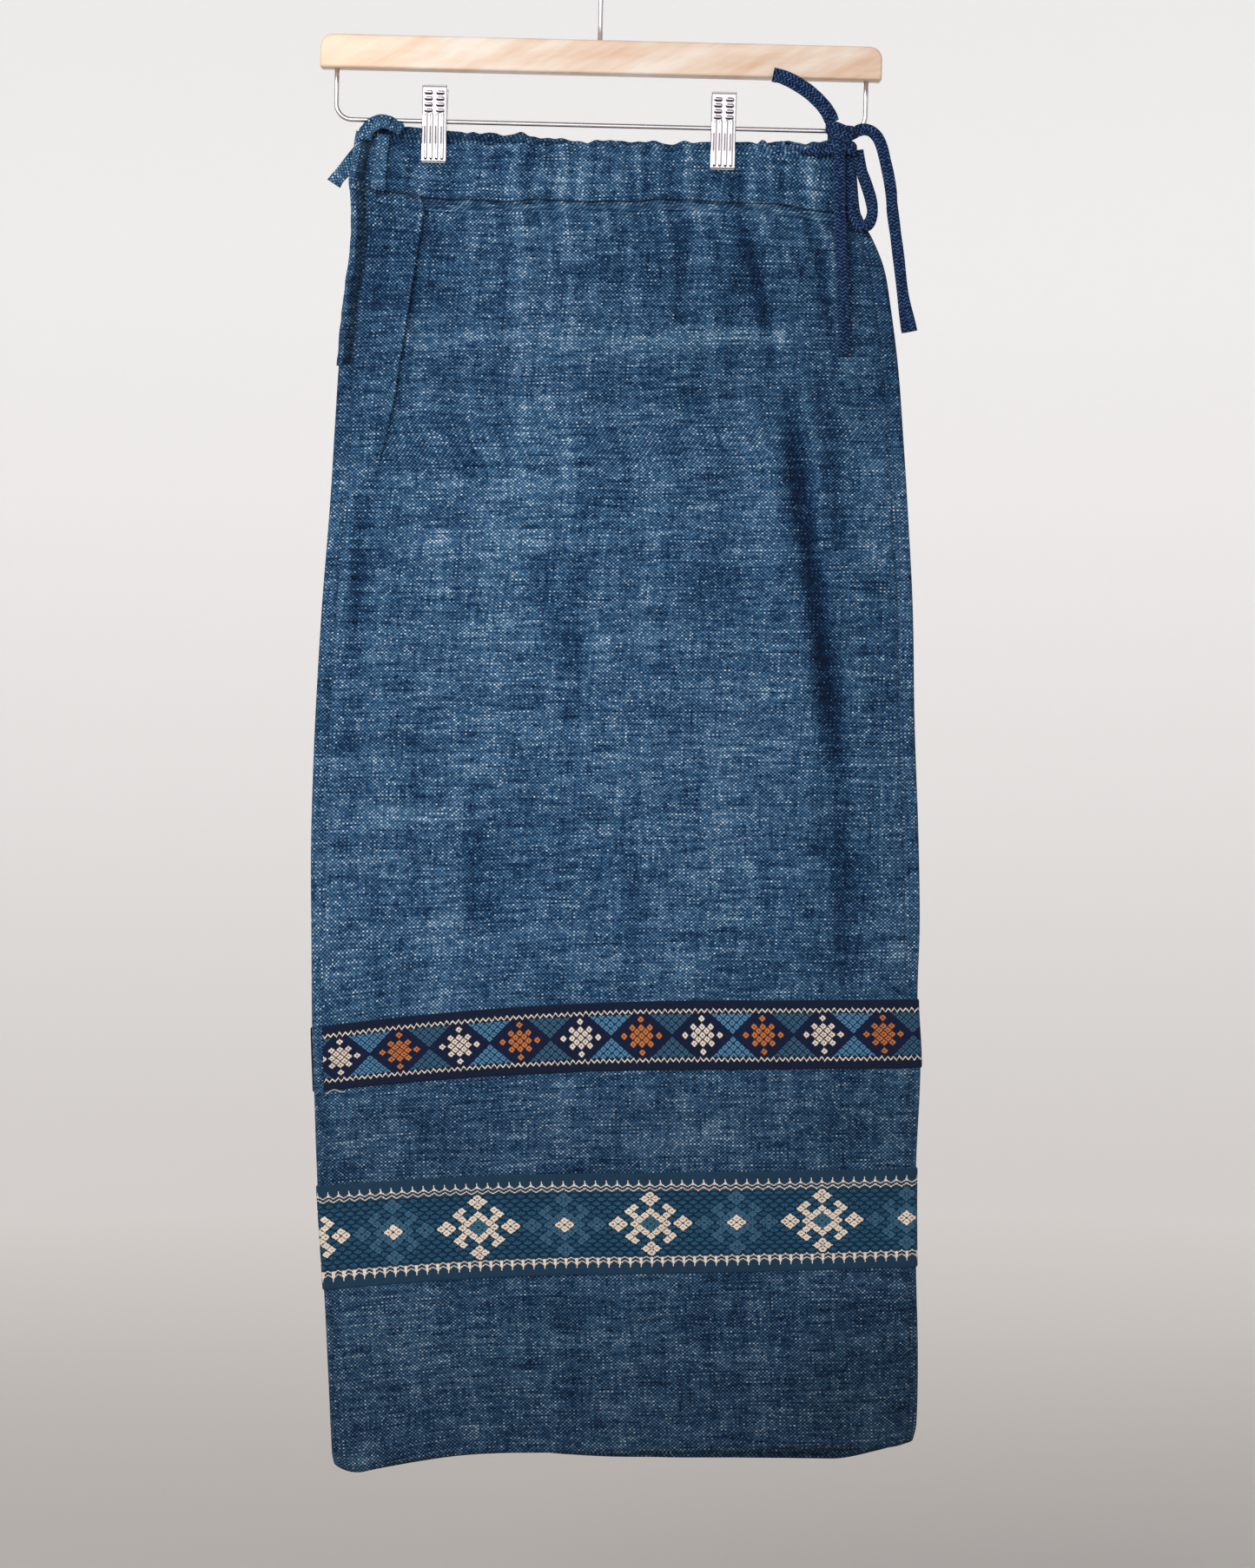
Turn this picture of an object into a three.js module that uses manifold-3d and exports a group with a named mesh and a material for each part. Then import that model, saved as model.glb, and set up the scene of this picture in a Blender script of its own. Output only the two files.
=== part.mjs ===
// Tube skirt with a drawstring waist and two brocade bands, hanging from a clip hanger.
// Millimetres, Z up. The wearer's front faces -Y. The origin is inside the crown of the hook.

import * as THREE from 'three';
import { mergeVertices } from 'three/addons/utils/BufferGeometryUtils.js';
import Module from 'manifold-3d';

// Driving dimensions of the cloth

const GAP = 0.3;
const CLOTH_WALL = 1.6;
const CASING_WALL = 1.7;
const BAND_WALL = 1.0;
const STRIP_WALL = 1.2;
const EDGE_ROUND = 3.5;
const FLATNESS = 2.6;

const FRONT_WAIST_Z = -160.4;
const BACK_WAIST_Z = -158;
const CASING_SEAM_Z = -198.8;
const PLACKET_END_Z = -313;
const UPPER_BAND = { top: -750.6, bottom: -797.9 };
const LOWER_BAND = { top: -866.9, bottom: -935.3 };
const HEM_Z = -1059.5;

const SAG_START = 0.65;
const CORNER_REACH = 0.055;
const BACK_RISE = { height: 7, reach: 0.7 };
const BACK_HEM_DROP = { height: 4.5, start: -990 };

// A row for each level section of the tube, at its own middle height z: side edges, half depth,
// distance of the side seams from the edges, and how far the row dips. droop dips the left end
// over the share reach of the width, tilt slopes the whole row, sag dips the right end and lift
// raises both corners.
const SECTION_COLUMNS = ['z', 'left', 'right', 'depth', 'seam', 'droop', 'reach', 'tilt', 'sag', 'lift'];
const SECTIONS = [
  [-158, -168.5, 174.3, 3.5, 10.8, -6, 0.25, 0, 0, 0],
  [-179, -172, 175.5, 3.6, 10.8, -8, 0.28, 0, 6, 0],
  [-198.8, -174.3, 178.5, 4.2, 10.8, -12, 0.3, 0, 12, 0],
  [-216, -172.7, 186, 5.6, 10.8, -8, 0.3, 0, 9, 0],
  [-240, -174, 194, 7, 10.8, -3, 0.3, 0, 5, 0],
  [-265, -178, 198, 8.2, 10.8, 0, 0.3, 0, 2, 0],
  [-313, -182.8, 203.8, 10, 10.8, 0, 0.4, 0, 0, 0],
  [-360, -185.8, 207.3, 11, 10.8, 0, 0.5, 0, 0, 0],
  [-408, -188.8, 210.3, 12, 10.8, 0, 0.5, 0, 0, 0],
  [-480, -194.5, 214, 13.3, 10.8, 0, 0.5, 0, 0, 0],
  [-560, -199.2, 215.3, 14.2, 10.8, 0, 0.6, 0, 0, 0],
  [-640, -202, 218, 15, 10.8, 4, 0.66, 0, 0, 0],
  [-700, -201.7, 218.8, 15.5, 10, 12, 0.66, 0, 0, 0],
  [-750.6, -201.3, 217.3, 15.8, 7.8, 19.5, 0.66, 0, 0, 0],
  [-797.9, -199.8, 219.3, 16.2, 7.6, 15.5, 0.6, 1.2, 0, 0],
  [-866.9, -197.5, 216.3, 16.6, 5.2, 8.5, 0.45, 4, 0, 0],
  [-935.3, -193, 216.3, 17, 5.2, 10, 0.45, 6, 0, 0],
  [-995, -190, 217.5, 17.5, 5.2, 14, 0.4, 3, 0, 0],
  [-1046, -187.5, 216.5, 18, 5.2, 20, 0.34, 1.8, 0, 4],
  [-1059.5, -186, 214, 18, 5.2, 21, 0.33, 1.8, 0, 11],
];

// Soft ridges drawn up by the cord: place across the waist as a share of its width, height,
// width and the distance that each runs down below the casing seam.
const GATHER_COLUMNS = ['at', 'rise', 'width', 'run'];
const FRONT_GATHERS = [
  [0.126, 0.7, 6, 40],
  [0.221, 0.9, 6, 70],
  [0.26, 1.0, 6, 60],
  [0.319, 1.3, 7, 150],
  [0.367, 0.9, 5, 110],
  [0.41, 1.3, 6, 140],
  [0.453, 0.9, 6, 60],
  [0.491, 1.0, 5, 70],
  [0.529, 1.2, 6, 80],
  [0.566, 0.9, 5, 60],
  [0.602, 1.1, 6, 90],
  [0.667, 1.2, 6, 120],
  [0.707, 0.8, 5, 60],
  [0.795, 1.1, 6, 110],
  [0.833, 1.2, 6, 90],
  [0.867, 1.0, 5, 70],
  [0.914, 1.2, 6, 90],
];
const BACK_GATHERS = [
  [0.07, 1.0, 6, 60],
  [0.13, 1.2, 7, 90],
  [0.21, 0.9, 6, 70],
  [0.34, 1.2, 6, 110],
  [0.4, 1.0, 5, 80],
  [0.45, 1.3, 7, 120],
  [0.51, 0.9, 5, 60],
  [0.57, 1.1, 6, 100],
  [0.63, 1.0, 6, 70],
  [0.69, 1.3, 7, 130],
  [0.76, 0.9, 5, 60],
  [0.9, 1.1, 6, 80],
];

// Long soft creases: heights of both ends, places across at the top, middle and bottom, half
// width and rise. A negative rise is a trough.
const CREASE_COLUMNS = ['top', 'bottom', 'xTop', 'xMiddle', 'xBottom', 'width', 'rise'];
const FRONT_CREASES = [
  [-202, -312, 93, 107, 120, 7, -2.2],
  [-290, -640, 117, 149, 166, 13, -4],
  [-600, -760, 164, 167, 168, 16, -2.5],
  [-204, -258, 118, 131, 142, 5, -1.6],
  [-202, -300, 50, 51, 52, 6, -1.4],
  [-380, -530, -162, -169, -174, 9, -2],
  [-420, -540, -26, -25, -24, 16, -1.3],
  [-610, -730, -85, -84, -83, 16, -1.3],
  [-640, -745, 138, 138, 139, 18, 1.6],
  [-940, -1059.5, 137, 138, 140, 18, 1.8],
  [-940, -1059.5, -120, -124, -130, 22, 1.6],
];
const BACK_CREASES = [
  [-202, -520, -110, -128, -140, 13, -3],
  [-210, -640, 60, 78, 90, 16, -2.6],
  [-600, -1059.5, 10, 4, -6, 26, 2],
];

// The lapped fold at the left of the front: its left layer lies over the right one.
const FOLD = {
  start: -186,
  full: -214,
  fade: -350,
  end: -412,
  xTop: -122.5,
  xMiddle: -139.5,
  xBottom: -155,
  zTop: -196,
  zBottom: -395,
  rise: 4.2,
  underlap: 5,
  run: 10,
  reach: 26,
};

const FRONT_STEPS = { beside: 6, turn: 5, across: 40 };
const BACK_STEPS = 40;

// Driving dimensions of the hanger

const HANGER_TILT = THREE.MathUtils.degToRad(1.4);
const WIRE_RADIUS = 1.6;
const HOOK_INNER_RADIUS = 19;
const STEM_BEND_Z = -52;
const BAR = { left: -192.6, right: 194.9, top: -88.9, bottom: -112.1, thick: 12, corner: 9 };
const FRAME = { left: -181, right: 184.5, bottom: -147, corner: 11 };
const CLIP = { width: 17.3, height: 52.5, above: 23.5, sheet: 1, openTop: 9, pivot: 5.4 };
const CLIP_PLACES = { left: -112.8, right: 86.6 };
const CLIP_GRIP = 2.1;
const GRIP_REACH = { full: 11, none: 28, zFull: -182, zNone: -226 };
const SPRING = { inner: WIRE_RADIUS + GAP, outer: 3.4, length: 9 };
const WIRE_SIDES = 8;

// Driving dimensions of the drawstring and strips

const CORD_WIDTH = 8.2;
const CORD_THICK = 3.4;
const CORD_SIDES = 8;
const KNOT = { x: 163.5, y: -9.7, z: -158, width: 23, thick: 11, height: 25 };
const CORD_ROUTES = {
  drawstring_end_up: {
    steps: 8,
    points: [
      [157.8, -9.5, -146.6], [154.8, -9.5, -140], [149.7, -9, -133.1], [141.3, -8.8, -125.3],
      [131.7, -8.6, -119], [123.3, -8.5, -115.1], [117, -8.4, -113.6],
    ],
  },
  drawstring_end_down: {
    steps: 11,
    points: [
      [162.4, -11.5, -171], [162.8, -11.5, -180.2], [162.6, -10.5, -201.2], [163.5, -9.7, -222.2],
      [164.7, -9.6, -253.4], [165.3, -9.8, -279.2], [165.9, -10.2, -306.2],
    ],
  },
  drawstring_end_side: {
    steps: 14,
    points: [
      [174.3, -9, -152.8], [179.1, -9, -151.4], [184.5, -8.5, -152.6], [189, -7.9, -156.8],
      [192, -7.4, -163.4], [194.4, -7, -173], [196.5, -7, -182.6], [198.3, -7, -194],
      [199.2, -7, -206], [201.3, -7, -222.2], [203.7, -7.4, -241.4], [206.7, -7.8, -267.2],
      [210.9, -8, -290.6],
    ],
  },
  drawstring_loop: {
    steps: 16,
    points: [
      [168.6, -7.4, -169.8], [169.5, -7.4, -183.2], [171.6, -7.6, -201.2], [173.7, -7.8, -211.4],
      [178.2, -8, -218], [183, -8, -215.9], [185.4, -8, -208.4], [184.2, -7.6, -198.8],
      [180.9, -7.2, -188], [177.6, -7, -178.4], [175.5, -7.2, -165.5],
    ],
  },
};

// Flat strips that face the front: centre line with the width at each point.
const STRIP_ROUTES = {
  placket_arch: {
    thick: 1.6,
    points: [
      [-164.4, -6.1, -158, 9.6], [-163, -6.4, -152.6, 9.8], [-159, -6.8, -147.8, 10],
      [-153, -6.6, -145.4, 10], [-147.4, -5.2, -146.2, 9.6], [-142.6, -3, -148.6, 9],
      [-139.4, -0.9, -150.8, 8.6],
    ],
  },
  carrier_strip: {
    thick: 1.6,
    points: [
      [-151.3, -6.6, -154.4, 8.6], [-152.4, -7.2, -164.6, 9.4], [-153.6, -7.2, -176, 9.8],
      [-154.6, -6.2, -186.4, 10], [-155, -5.1, -192.6, 10],
    ],
  },
  tie_end: {
    thick: 1.6,
    points: [
      [-162.3, 5, -156.2, 8.6], [-170.7, 5, -166.2, 8.8], [-179.7, 4.6, -177.4, 9],
      [-186.6, 4, -186.4, 9.2],
    ],
  },
  drawstring_root: {
    thick: 3,
    points: [
      [135.9, -6.7, -167, 2.4], [141, -6.8, -166.6, 5], [146.4, -6.9, -165.6, 8], [152.4, -7, -164.4, 10],
    ],
  },
};

// Colours and finishes

const FINISH = {
  indigoCotton: { color: 0x2b4a6b, roughness: 0.9, metalness: 0 },
  upperBrocade: { color: 0x3f5f7d, roughness: 0.85, metalness: 0 },
  lowerBrocade: { color: 0x27485f, roughness: 0.85, metalness: 0 },
  navyBraid: { color: 0x1d2f4f, roughness: 0.9, metalness: 0 },
  paleWood: { color: 0xe6c9a0, roughness: 0.5, metalness: 0 },
  brightSteel: { color: 0xd8d8dc, roughness: 0.15, metalness: 1 },
};

function named(name, geometry, finish) {
  const mesh = new THREE.Mesh(geometry, new THREE.MeshStandardMaterial(FINISH[finish]));
  mesh.name = name;
  return mesh;
}

// Small curves

const smooth = (value, from, to) => THREE.MathUtils.smoothstep((value - from) / (to - from), 0, 1);
const squareFrom = (value) => Math.max(0, value) ** 2;

function tableRows(columns, rows) {
  return rows.map((row) => Object.fromEntries(columns.map((name, i) => [name, row[i]])));
}

const sections = tableRows(SECTION_COLUMNS, SECTIONS);
const gathers = {
  front: tableRows(GATHER_COLUMNS, FRONT_GATHERS),
  back: tableRows(GATHER_COLUMNS, BACK_GATHERS),
};
const creases = {
  front: tableRows(CREASE_COLUMNS, FRONT_CREASES),
  back: tableRows(CREASE_COLUMNS, BACK_CREASES),
};

// A smooth curve through the section rows, by height.
function sectionAt(z) {
  const last = sections.length - 1;
  let i = 0;
  while (i < last - 1 && sections[i + 1].z > z) i += 1;
  const [a, b] = [sections[i], sections[i + 1]];
  const before = sections[Math.max(0, i - 1)];
  const after = sections[Math.min(last, i + 2)];
  const span = b.z - a.z;
  const t = (z - a.z) / span;
  const section = { z };
  for (const name of SECTION_COLUMNS.slice(1)) {
    const slopeA = ((b[name] - before[name]) / (b.z - before.z)) * span;
    const slopeB = ((after[name] - a[name]) / (after.z - a.z)) * span;
    section[name] = a[name] * (1 + 2 * t) * (1 - t) ** 2
      + slopeA * t * (1 - t) ** 2
      + b[name] * t * t * (3 - 2 * t)
      + slopeB * t * t * (t - 1);
  }
  return section;
}

// A parabola through three places that are evenly spaced in height.
function lineAt(share, top, middle, bottom) {
  const curved = 2 * (top - 2 * middle + bottom);
  return top + (bottom - top - curved / 2) * share + (curved / 2) * share * share;
}

function foldLine(z) {
  const share = THREE.MathUtils.clamp((FOLD.zTop - z) / (FOLD.zTop - FOLD.zBottom), 0, 1);
  return lineAt(share, FOLD.xTop, FOLD.xMiddle, FOLD.xBottom);
}

// How far the cloth stands out and moves sideways near the lapped fold.
function foldAt(x, z) {
  const strength = smooth(z, FOLD.start, FOLD.full) * (1 - smooth(z, FOLD.fade, FOLD.end));
  const offset = x - foldLine(z);
  const turn = smooth(offset, -FOLD.run / 2, FOLD.run / 2);
  const near = 1 - smooth(Math.abs(offset), FOLD.run / 2, FOLD.reach);
  return {
    rise: strength * FOLD.rise * (1 - turn) * near,
    shift: strength * FOLD.underlap * (0.5 - turn) * near,
  };
}

function creaseRise(list, x, z) {
  let total = 0;
  for (const crease of list) {
    const share = (crease.top - z) / (crease.top - crease.bottom);
    if (share > 0 && share < 1.0001) {
      const line = lineAt(share, crease.xTop, crease.xMiddle, crease.xBottom);
      const open = crease.bottom <= HEM_Z ? 1 : smooth(share, 1, 0.7);
      total += crease.rise * smooth(share, 0, 0.3) * open * Math.exp(-(((x - line) / crease.width) ** 2));
    }
  }
  return total;
}

function gatherRise(list, share, width, z) {
  let total = 0;
  for (const gather of list) {
    const below = THREE.MathUtils.clamp((CASING_SEAM_Z - z) / gather.run, 0, 1);
    const offset = ((share - gather.at) * width) / gather.width;
    total += gather.rise * (1 - below) ** 1.5 * Math.exp(-offset * offset);
  }
  return total;
}

// How firmly the clips press the waist together at a place.
function gripAt(x, z) {
  const nearest = Math.min(...Object.values(CLIP_PLACES).map((place) => {
    const centre = place * Math.cos(HANGER_TILT) + FRAME.bottom * Math.sin(HANGER_TILT);
    return Math.abs(x - centre);
  }));
  const across = 1 - smooth(nearest, GRIP_REACH.full, GRIP_REACH.none);
  return across * (1 - smooth(z, GRIP_REACH.zFull, GRIP_REACH.zNone));
}

function rowDip(section, share, backShare) {
  const front = section.droop * squareFrom(1 - share / section.reach)
    + section.tilt * (1 - share)
    + section.sag * squareFrom((share - SAG_START) / (1 - SAG_START))
    - section.lift * (squareFrom(1 - share / CORNER_REACH) + squareFrom(1 - (1 - share) / CORNER_REACH));
  const nearWaist = smooth(section.z, CASING_SEAM_Z, BACK_WAIST_Z);
  const nearHem = smooth(section.z, BACK_HEM_DROP.start, HEM_Z);
  const rise = BACK_RISE.height * squareFrom(1 - share / BACK_RISE.reach) * nearWaist;
  const drop = BACK_HEM_DROP.height * Math.sin(Math.PI * share) * nearHem;
  return front + backShare * (drop - rise);
}

// A point of the tube's outer face. The place round the tube runs 0 to 1 across the front from
// left to right, 1 to 2 round the right edge, 2 to 3 back across and 3 to 4 round the left edge.
function clothPoint(place, z) {
  const section = sectionAt(z);
  const around = THREE.MathUtils.euclideanModulo(place, 4);
  const flat = section.right - section.left - 2 * EDGE_ROUND;
  const quarter = Math.floor(around);
  const along = around - quarter;
  let x;
  let y;
  let backShare;
  if (quarter === 0 || quarter === 2) {
    const side = quarter === 0 ? 'front' : 'back';
    const share = quarter === 0 ? along : 1 - along;
    x = section.left + EDGE_ROUND + share * flat;
    const bulge = (section.depth - EDGE_ROUND) * (1 - Math.abs(2 * share - 1) ** FLATNESS);
    const grip = gripAt(x, z);
    const inner = smooth(Math.min(share, 1 - share), 0, 0.06);
    const relief = creaseRise(creases[side], x, z) + gatherRise(gathers[side], share, flat, z) * (1 - grip);
    const fold = side === 'front' ? foldAt(x, z) : { rise: 0, shift: 0 };
    const depth = THREE.MathUtils.lerp(EDGE_ROUND + bulge, CLIP_GRIP, grip) + relief * inner + fold.rise;
    x += fold.shift;
    y = quarter === 0 ? -depth : depth;
    backShare = quarter === 0 ? 0 : 1;
  } else {
    const angle = along * Math.PI;
    const turn = quarter === 1 ? 1 : -1;
    const centre = quarter === 1 ? section.right - EDGE_ROUND : section.left + EDGE_ROUND;
    x = centre + turn * EDGE_ROUND * Math.sin(angle);
    y = -turn * EDGE_ROUND * Math.cos(angle);
    backShare = quarter === 1 ? along : 1 - along;
  }
  const share = THREE.MathUtils.clamp((x - section.left) / (section.right - section.left), 0, 1);
  return new THREE.Vector3(x, y, z - rowDip(section, share, backShare));
}

// The outward direction of the cloth at a place, by small differences.
function clothNormal(place, z) {
  const step = 0.0008;
  const rise = 0.3;
  const across = clothPoint(place + step, z).sub(clothPoint(place - step, z));
  const up = clothPoint(place, z + rise).sub(clothPoint(place, z - rise));
  return across.cross(up).normalize();
}

// Closed solids from two matching grids of points

function closedWall(outer, inner) {
  const rows = outer.length;
  const columns = outer[0].length;
  const positions = [...outer.flat(), ...inner.flat()].flatMap((point) => point.toArray());
  const out = (r, c) => r * columns + c;
  const inn = (r, c) => rows * columns + r * columns + c;
  const faces = [];
  const quad = (a, b, c, d) => faces.push(a, b, c, a, c, d);
  for (let r = 0; r < rows - 1; r += 1) {
    for (let c = 0; c < columns - 1; c += 1) {
      quad(out(r, c), out(r + 1, c), out(r + 1, c + 1), out(r, c + 1));
      quad(inn(r, c + 1), inn(r + 1, c + 1), inn(r + 1, c), inn(r, c));
    }
    const last = columns - 1;
    quad(out(r, 0), inn(r, 0), inn(r + 1, 0), out(r + 1, 0));
    quad(out(r + 1, last), inn(r + 1, last), inn(r, last), out(r, last));
  }
  for (let c = 0; c < columns - 1; c += 1) {
    const last = rows - 1;
    quad(out(0, c), out(0, c + 1), inn(0, c + 1), inn(0, c));
    quad(inn(last, c), inn(last, c + 1), out(last, c + 1), out(last, c));
  }
  const geometry = new THREE.BufferGeometry();
  geometry.setAttribute('position', new THREE.Float32BufferAttribute(positions, 3));
  geometry.setIndex(faces);
  geometry.computeVertexNormals();
  return geometry;
}

// A wall on the tube: rows of heights, a function that gives the places round the tube at a
// height, the distance that its outer face lies above the cloth, and its thickness.
function clothWall(rows, placesAt, above, thick) {
  const layer = (offset) => rows.map((z) => placesAt(z).map((place) => (
    clothPoint(place, z).addScaledVector(clothNormal(place, z), offset)
  )));
  return closedWall(layer(above), layer(above - thick));
}

function stepsBetween(from, to, count) {
  return Array.from({ length: count }, (_, i) => from + ((to - from) * i) / count);
}

// The places round the tube that its grids share at one height.
function placesRound(z) {
  const section = sectionAt(z);
  const flat = section.right - section.left - 2 * EDGE_ROUND;
  const toPlace = (x) => (x - section.left - EDGE_ROUND) / flat;
  const half = GAP / 2 / flat;
  const seamLeft = (section.seam - EDGE_ROUND) / flat;
  const seamRight = 1 - seamLeft;
  const turnLeft = toPlace(foldLine(z) - FOLD.run / 2);
  const turnRight = toPlace(foldLine(z) + FOLD.run / 2);
  return {
    half,
    seamLeft,
    seamRight,
    leftEdge: [-0.5, -0.25, 0, seamLeft / 2],
    front: [
      ...stepsBetween(seamLeft, turnLeft, FRONT_STEPS.beside).slice(1),
      ...stepsBetween(turnLeft, turnRight, FRONT_STEPS.turn),
      ...stepsBetween(turnRight, seamRight, FRONT_STEPS.across),
    ],
    rightEdge: [(1 + seamRight) / 2, 1, 1.25, 1.5],
    back: [1.75, ...stepsBetween(2, 3, BACK_STEPS), 3, 3.25],
  };
}

const roundGap = GAP / 2 / (Math.PI * EDGE_ROUND);

const frontPlaces = (z) => {
  const round = placesRound(z);
  return [round.seamLeft + round.half, ...round.front, round.seamRight - round.half];
};

const backPlaces = (z) => {
  const round = placesRound(z);
  const leftEdge = round.leftEdge.map((place) => place + 4);
  return [
    round.seamRight + round.half, ...round.rightEdge, ...round.back, ...leftEdge,
    4 + round.seamLeft - round.half,
  ];
};

const upperBandFront = (z) => {
  const round = placesRound(z);
  return [
    round.seamLeft, ...round.front, round.seamRight, ...round.rightEdge.slice(0, -1), 1.5 - roundGap,
  ];
};

const lowerBandFront = (z) => {
  const round = placesRound(z);
  return [
    -0.5 + roundGap, ...round.leftEdge.slice(1), round.seamLeft, ...round.front, round.seamRight,
    ...round.rightEdge.slice(0, -1), 1.5 - roundGap,
  ];
};

const bandBack = (z) => [1.5 + roundGap, ...placesRound(z).back, 3.5 - roundGap];

const placketPlaces = (z) => {
  const round = placesRound(z);
  return [...round.leftEdge, round.seamLeft - round.half];
};

function rowsBetween(top, bottom) {
  const inside = sections.map((row) => row.z).filter((z) => z < top - 1 && z > bottom + 1);
  return [top, ...inside, bottom];
}

// Strips, cords and wires

// A flat strip that faces the front, with its edges square to its route.
function flatStrip({ points, thick }) {
  const centre = points.map(([x, y, z]) => new THREE.Vector3(x, y, z));
  const face = (offset) => centre.map((point, i) => {
    const before = centre[Math.max(0, i - 1)];
    const after = centre[Math.min(centre.length - 1, i + 1)];
    const along = after.clone().sub(before).setY(0).normalize();
    const across = new THREE.Vector3(-along.z, 0, along.x);
    const half = points[i][3] / 2;
    const level = point.clone().setY(point.y + offset);
    return [level.clone().addScaledVector(across, -half), level.addScaledVector(across, half)];
  });
  return closedWall(face(-thick / 2), face(thick / 2));
}

function ovalShape(width, height, sides) {
  const corners = Array.from({ length: sides }, (_, i) => {
    const angle = ((i + 0.5) / sides) * 2 * Math.PI;
    return new THREE.Vector2((width / 2) * Math.cos(angle), (height / 2) * Math.sin(angle));
  });
  return new THREE.Shape(corners);
}

function sweep(shape, route, steps) {
  return new THREE.ExtrudeGeometry(shape, { steps, extrudePath: route });
}

function flatCord({ points, steps }) {
  const route = new THREE.CatmullRomCurve3(points.map((point) => new THREE.Vector3(...point)));
  return sweep(ovalShape(CORD_THICK, CORD_WIDTH, CORD_SIDES), route, steps);
}

// A route with one cross section at each of its points, so that bends get more than straights.
class StationRoute extends THREE.Curve {
  constructor(stations) {
    super();
    this.stations = stations;
  }

  getPoint(t) {
    const at = t * (this.stations.length - 1);
    const i = Math.min(Math.floor(at), this.stations.length - 2);
    return this.stations[i].clone().lerp(this.stations[i + 1], at - i);
  }

  getPointAt(t) {
    return this.getPoint(t);
  }

  getTangentAt(t) {
    const last = this.stations.length - 1;
    const i = Math.round(t * last);
    const before = this.stations[Math.max(0, i - 1)];
    const after = this.stations[Math.min(last, i + 1)];
    return after.clone().sub(before).normalize();
  }
}

function roundWire(stations) {
  const shape = ovalShape(2 * WIRE_RADIUS, 2 * WIRE_RADIUS, WIRE_SIDES);
  return sweep(shape, new StationRoute(stations), stations.length - 1);
}

function arcStations(x, z, radius, fromDegrees, toDegrees, count) {
  return Array.from({ length: count + 1 }, (_, i) => {
    const angle = THREE.MathUtils.degToRad(fromDegrees + ((toDegrees - fromDegrees) * i) / count);
    return new THREE.Vector3(x + radius * Math.cos(angle), 0, z + radius * Math.sin(angle));
  });
}

// Hanger

function hookWire() {
  const radius = HOOK_INNER_RADIUS + WIRE_RADIUS;
  return roundWire([
    new THREE.Vector3(0, 0, BAR.top + GAP),
    new THREE.Vector3(0, 0, STEM_BEND_Z - 6),
    new THREE.Vector3(1.2, 0, STEM_BEND_Z),
    new THREE.Vector3(5, 0, STEM_BEND_Z + 7),
    ...arcStations(0, -HOOK_INNER_RADIUS, radius, -56, 205, 22),
  ]);
}

function frameWire() {
  const { left, right, bottom, corner } = FRAME;
  const top = BAR.bottom - GAP;
  return roundWire([
    new THREE.Vector3(left, 0, top),
    ...arcStations(left + corner, bottom + corner, corner, 180, 270, 5),
    ...arcStations(right - corner, bottom + corner, corner, 270, 360, 5),
    new THREE.Vector3(right, 0, top),
  ]);
}

function barBoard() {
  const { left, right, top, bottom, thick, corner } = BAR;
  const ease = 0.8;
  const shape = new THREE.Shape();
  shape.moveTo(left + ease, bottom + ease);
  shape.lineTo(right - ease, bottom + ease);
  shape.absarc(right - corner, top - corner, corner - ease, 0, Math.PI / 2, false);
  shape.absarc(left + corner, top - corner, corner - ease, Math.PI / 2, Math.PI, false);
  shape.closePath();
  const geometry = new THREE.ExtrudeGeometry(shape, {
    depth: thick - 2 * ease,
    bevelThickness: ease,
    bevelSize: ease,
    bevelSegments: 1,
    curveSegments: 5,
  });
  geometry.translate(0, 0, ease - thick / 2);
  geometry.rotateX(Math.PI / 2);
  return geometry;
}

const manifold = await Module();
manifold.setup();

function toSolid(geometry) {
  const bare = geometry.clone();
  bare.deleteAttribute('normal');
  bare.deleteAttribute('uv');
  const merged = mergeVertices(bare, 0.0001);
  return new manifold.Manifold(new manifold.Mesh({
    numProp: 3,
    vertProperties: new Float32Array(merged.attributes.position.array),
    triVerts: new Uint32Array(merged.index.array),
  }));
}

function fromSolid(solid) {
  const mesh = solid.getMesh();
  const geometry = new THREE.BufferGeometry();
  geometry.setAttribute('position', new THREE.BufferAttribute(mesh.vertProperties, 3));
  geometry.setIndex(new THREE.BufferAttribute(mesh.triVerts, 1));
  geometry.computeVertexNormals();
  return geometry;
}

// An outline in depth and height, drawn as [y, z] corners, made into a sheet from x to x + width.
function acrossExtrude(corners, x, width) {
  const shape = new THREE.Shape(corners.map(([y, z]) => new THREE.Vector2(y, z)));
  const geometry = new THREE.ExtrudeGeometry(shape, { depth: width, bevelEnabled: false });
  geometry.rotateZ(Math.PI / 2);
  geometry.rotateY(Math.PI / 2);
  geometry.translate(x, 0, 0);
  return geometry;
}

// The front plate of a clip, with the wire at the origin: a bent sheet with a side flange at each
// edge that reaches back to the wire.
function clipPlate() {
  const { width, height, above, sheet, openTop, pivot } = CLIP;
  const below = above - height;
  const jaw = CLIP_GRIP + GAP;
  const face = [[-openTop, above], [-pivot, 3], [-pivot + 0.3, -4], [-jaw - 0.6, -16], [-jaw, below]];
  const sheetCorners = [...face, ...face.map(([y, z]) => [y - sheet, z]).reverse()];
  const reach = WIRE_RADIUS + GAP + 0.2;
  const flangeCorners = [
    [-pivot - 0.6, 10], [-reach, 3.4], [-reach, -3.4], [-pivot + 0.1, -9], [-pivot - 0.4, -8],
  ];
  const plate = toSolid(acrossExtrude(sheetCorners, -width / 2, width));
  const flanges = [-width / 2, width / 2 - sheet].map((x) => toSolid(acrossExtrude(flangeCorners, x, sheet)));
  return fromSolid(plate.add(flanges[0]).add(flanges[1]));
}

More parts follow.
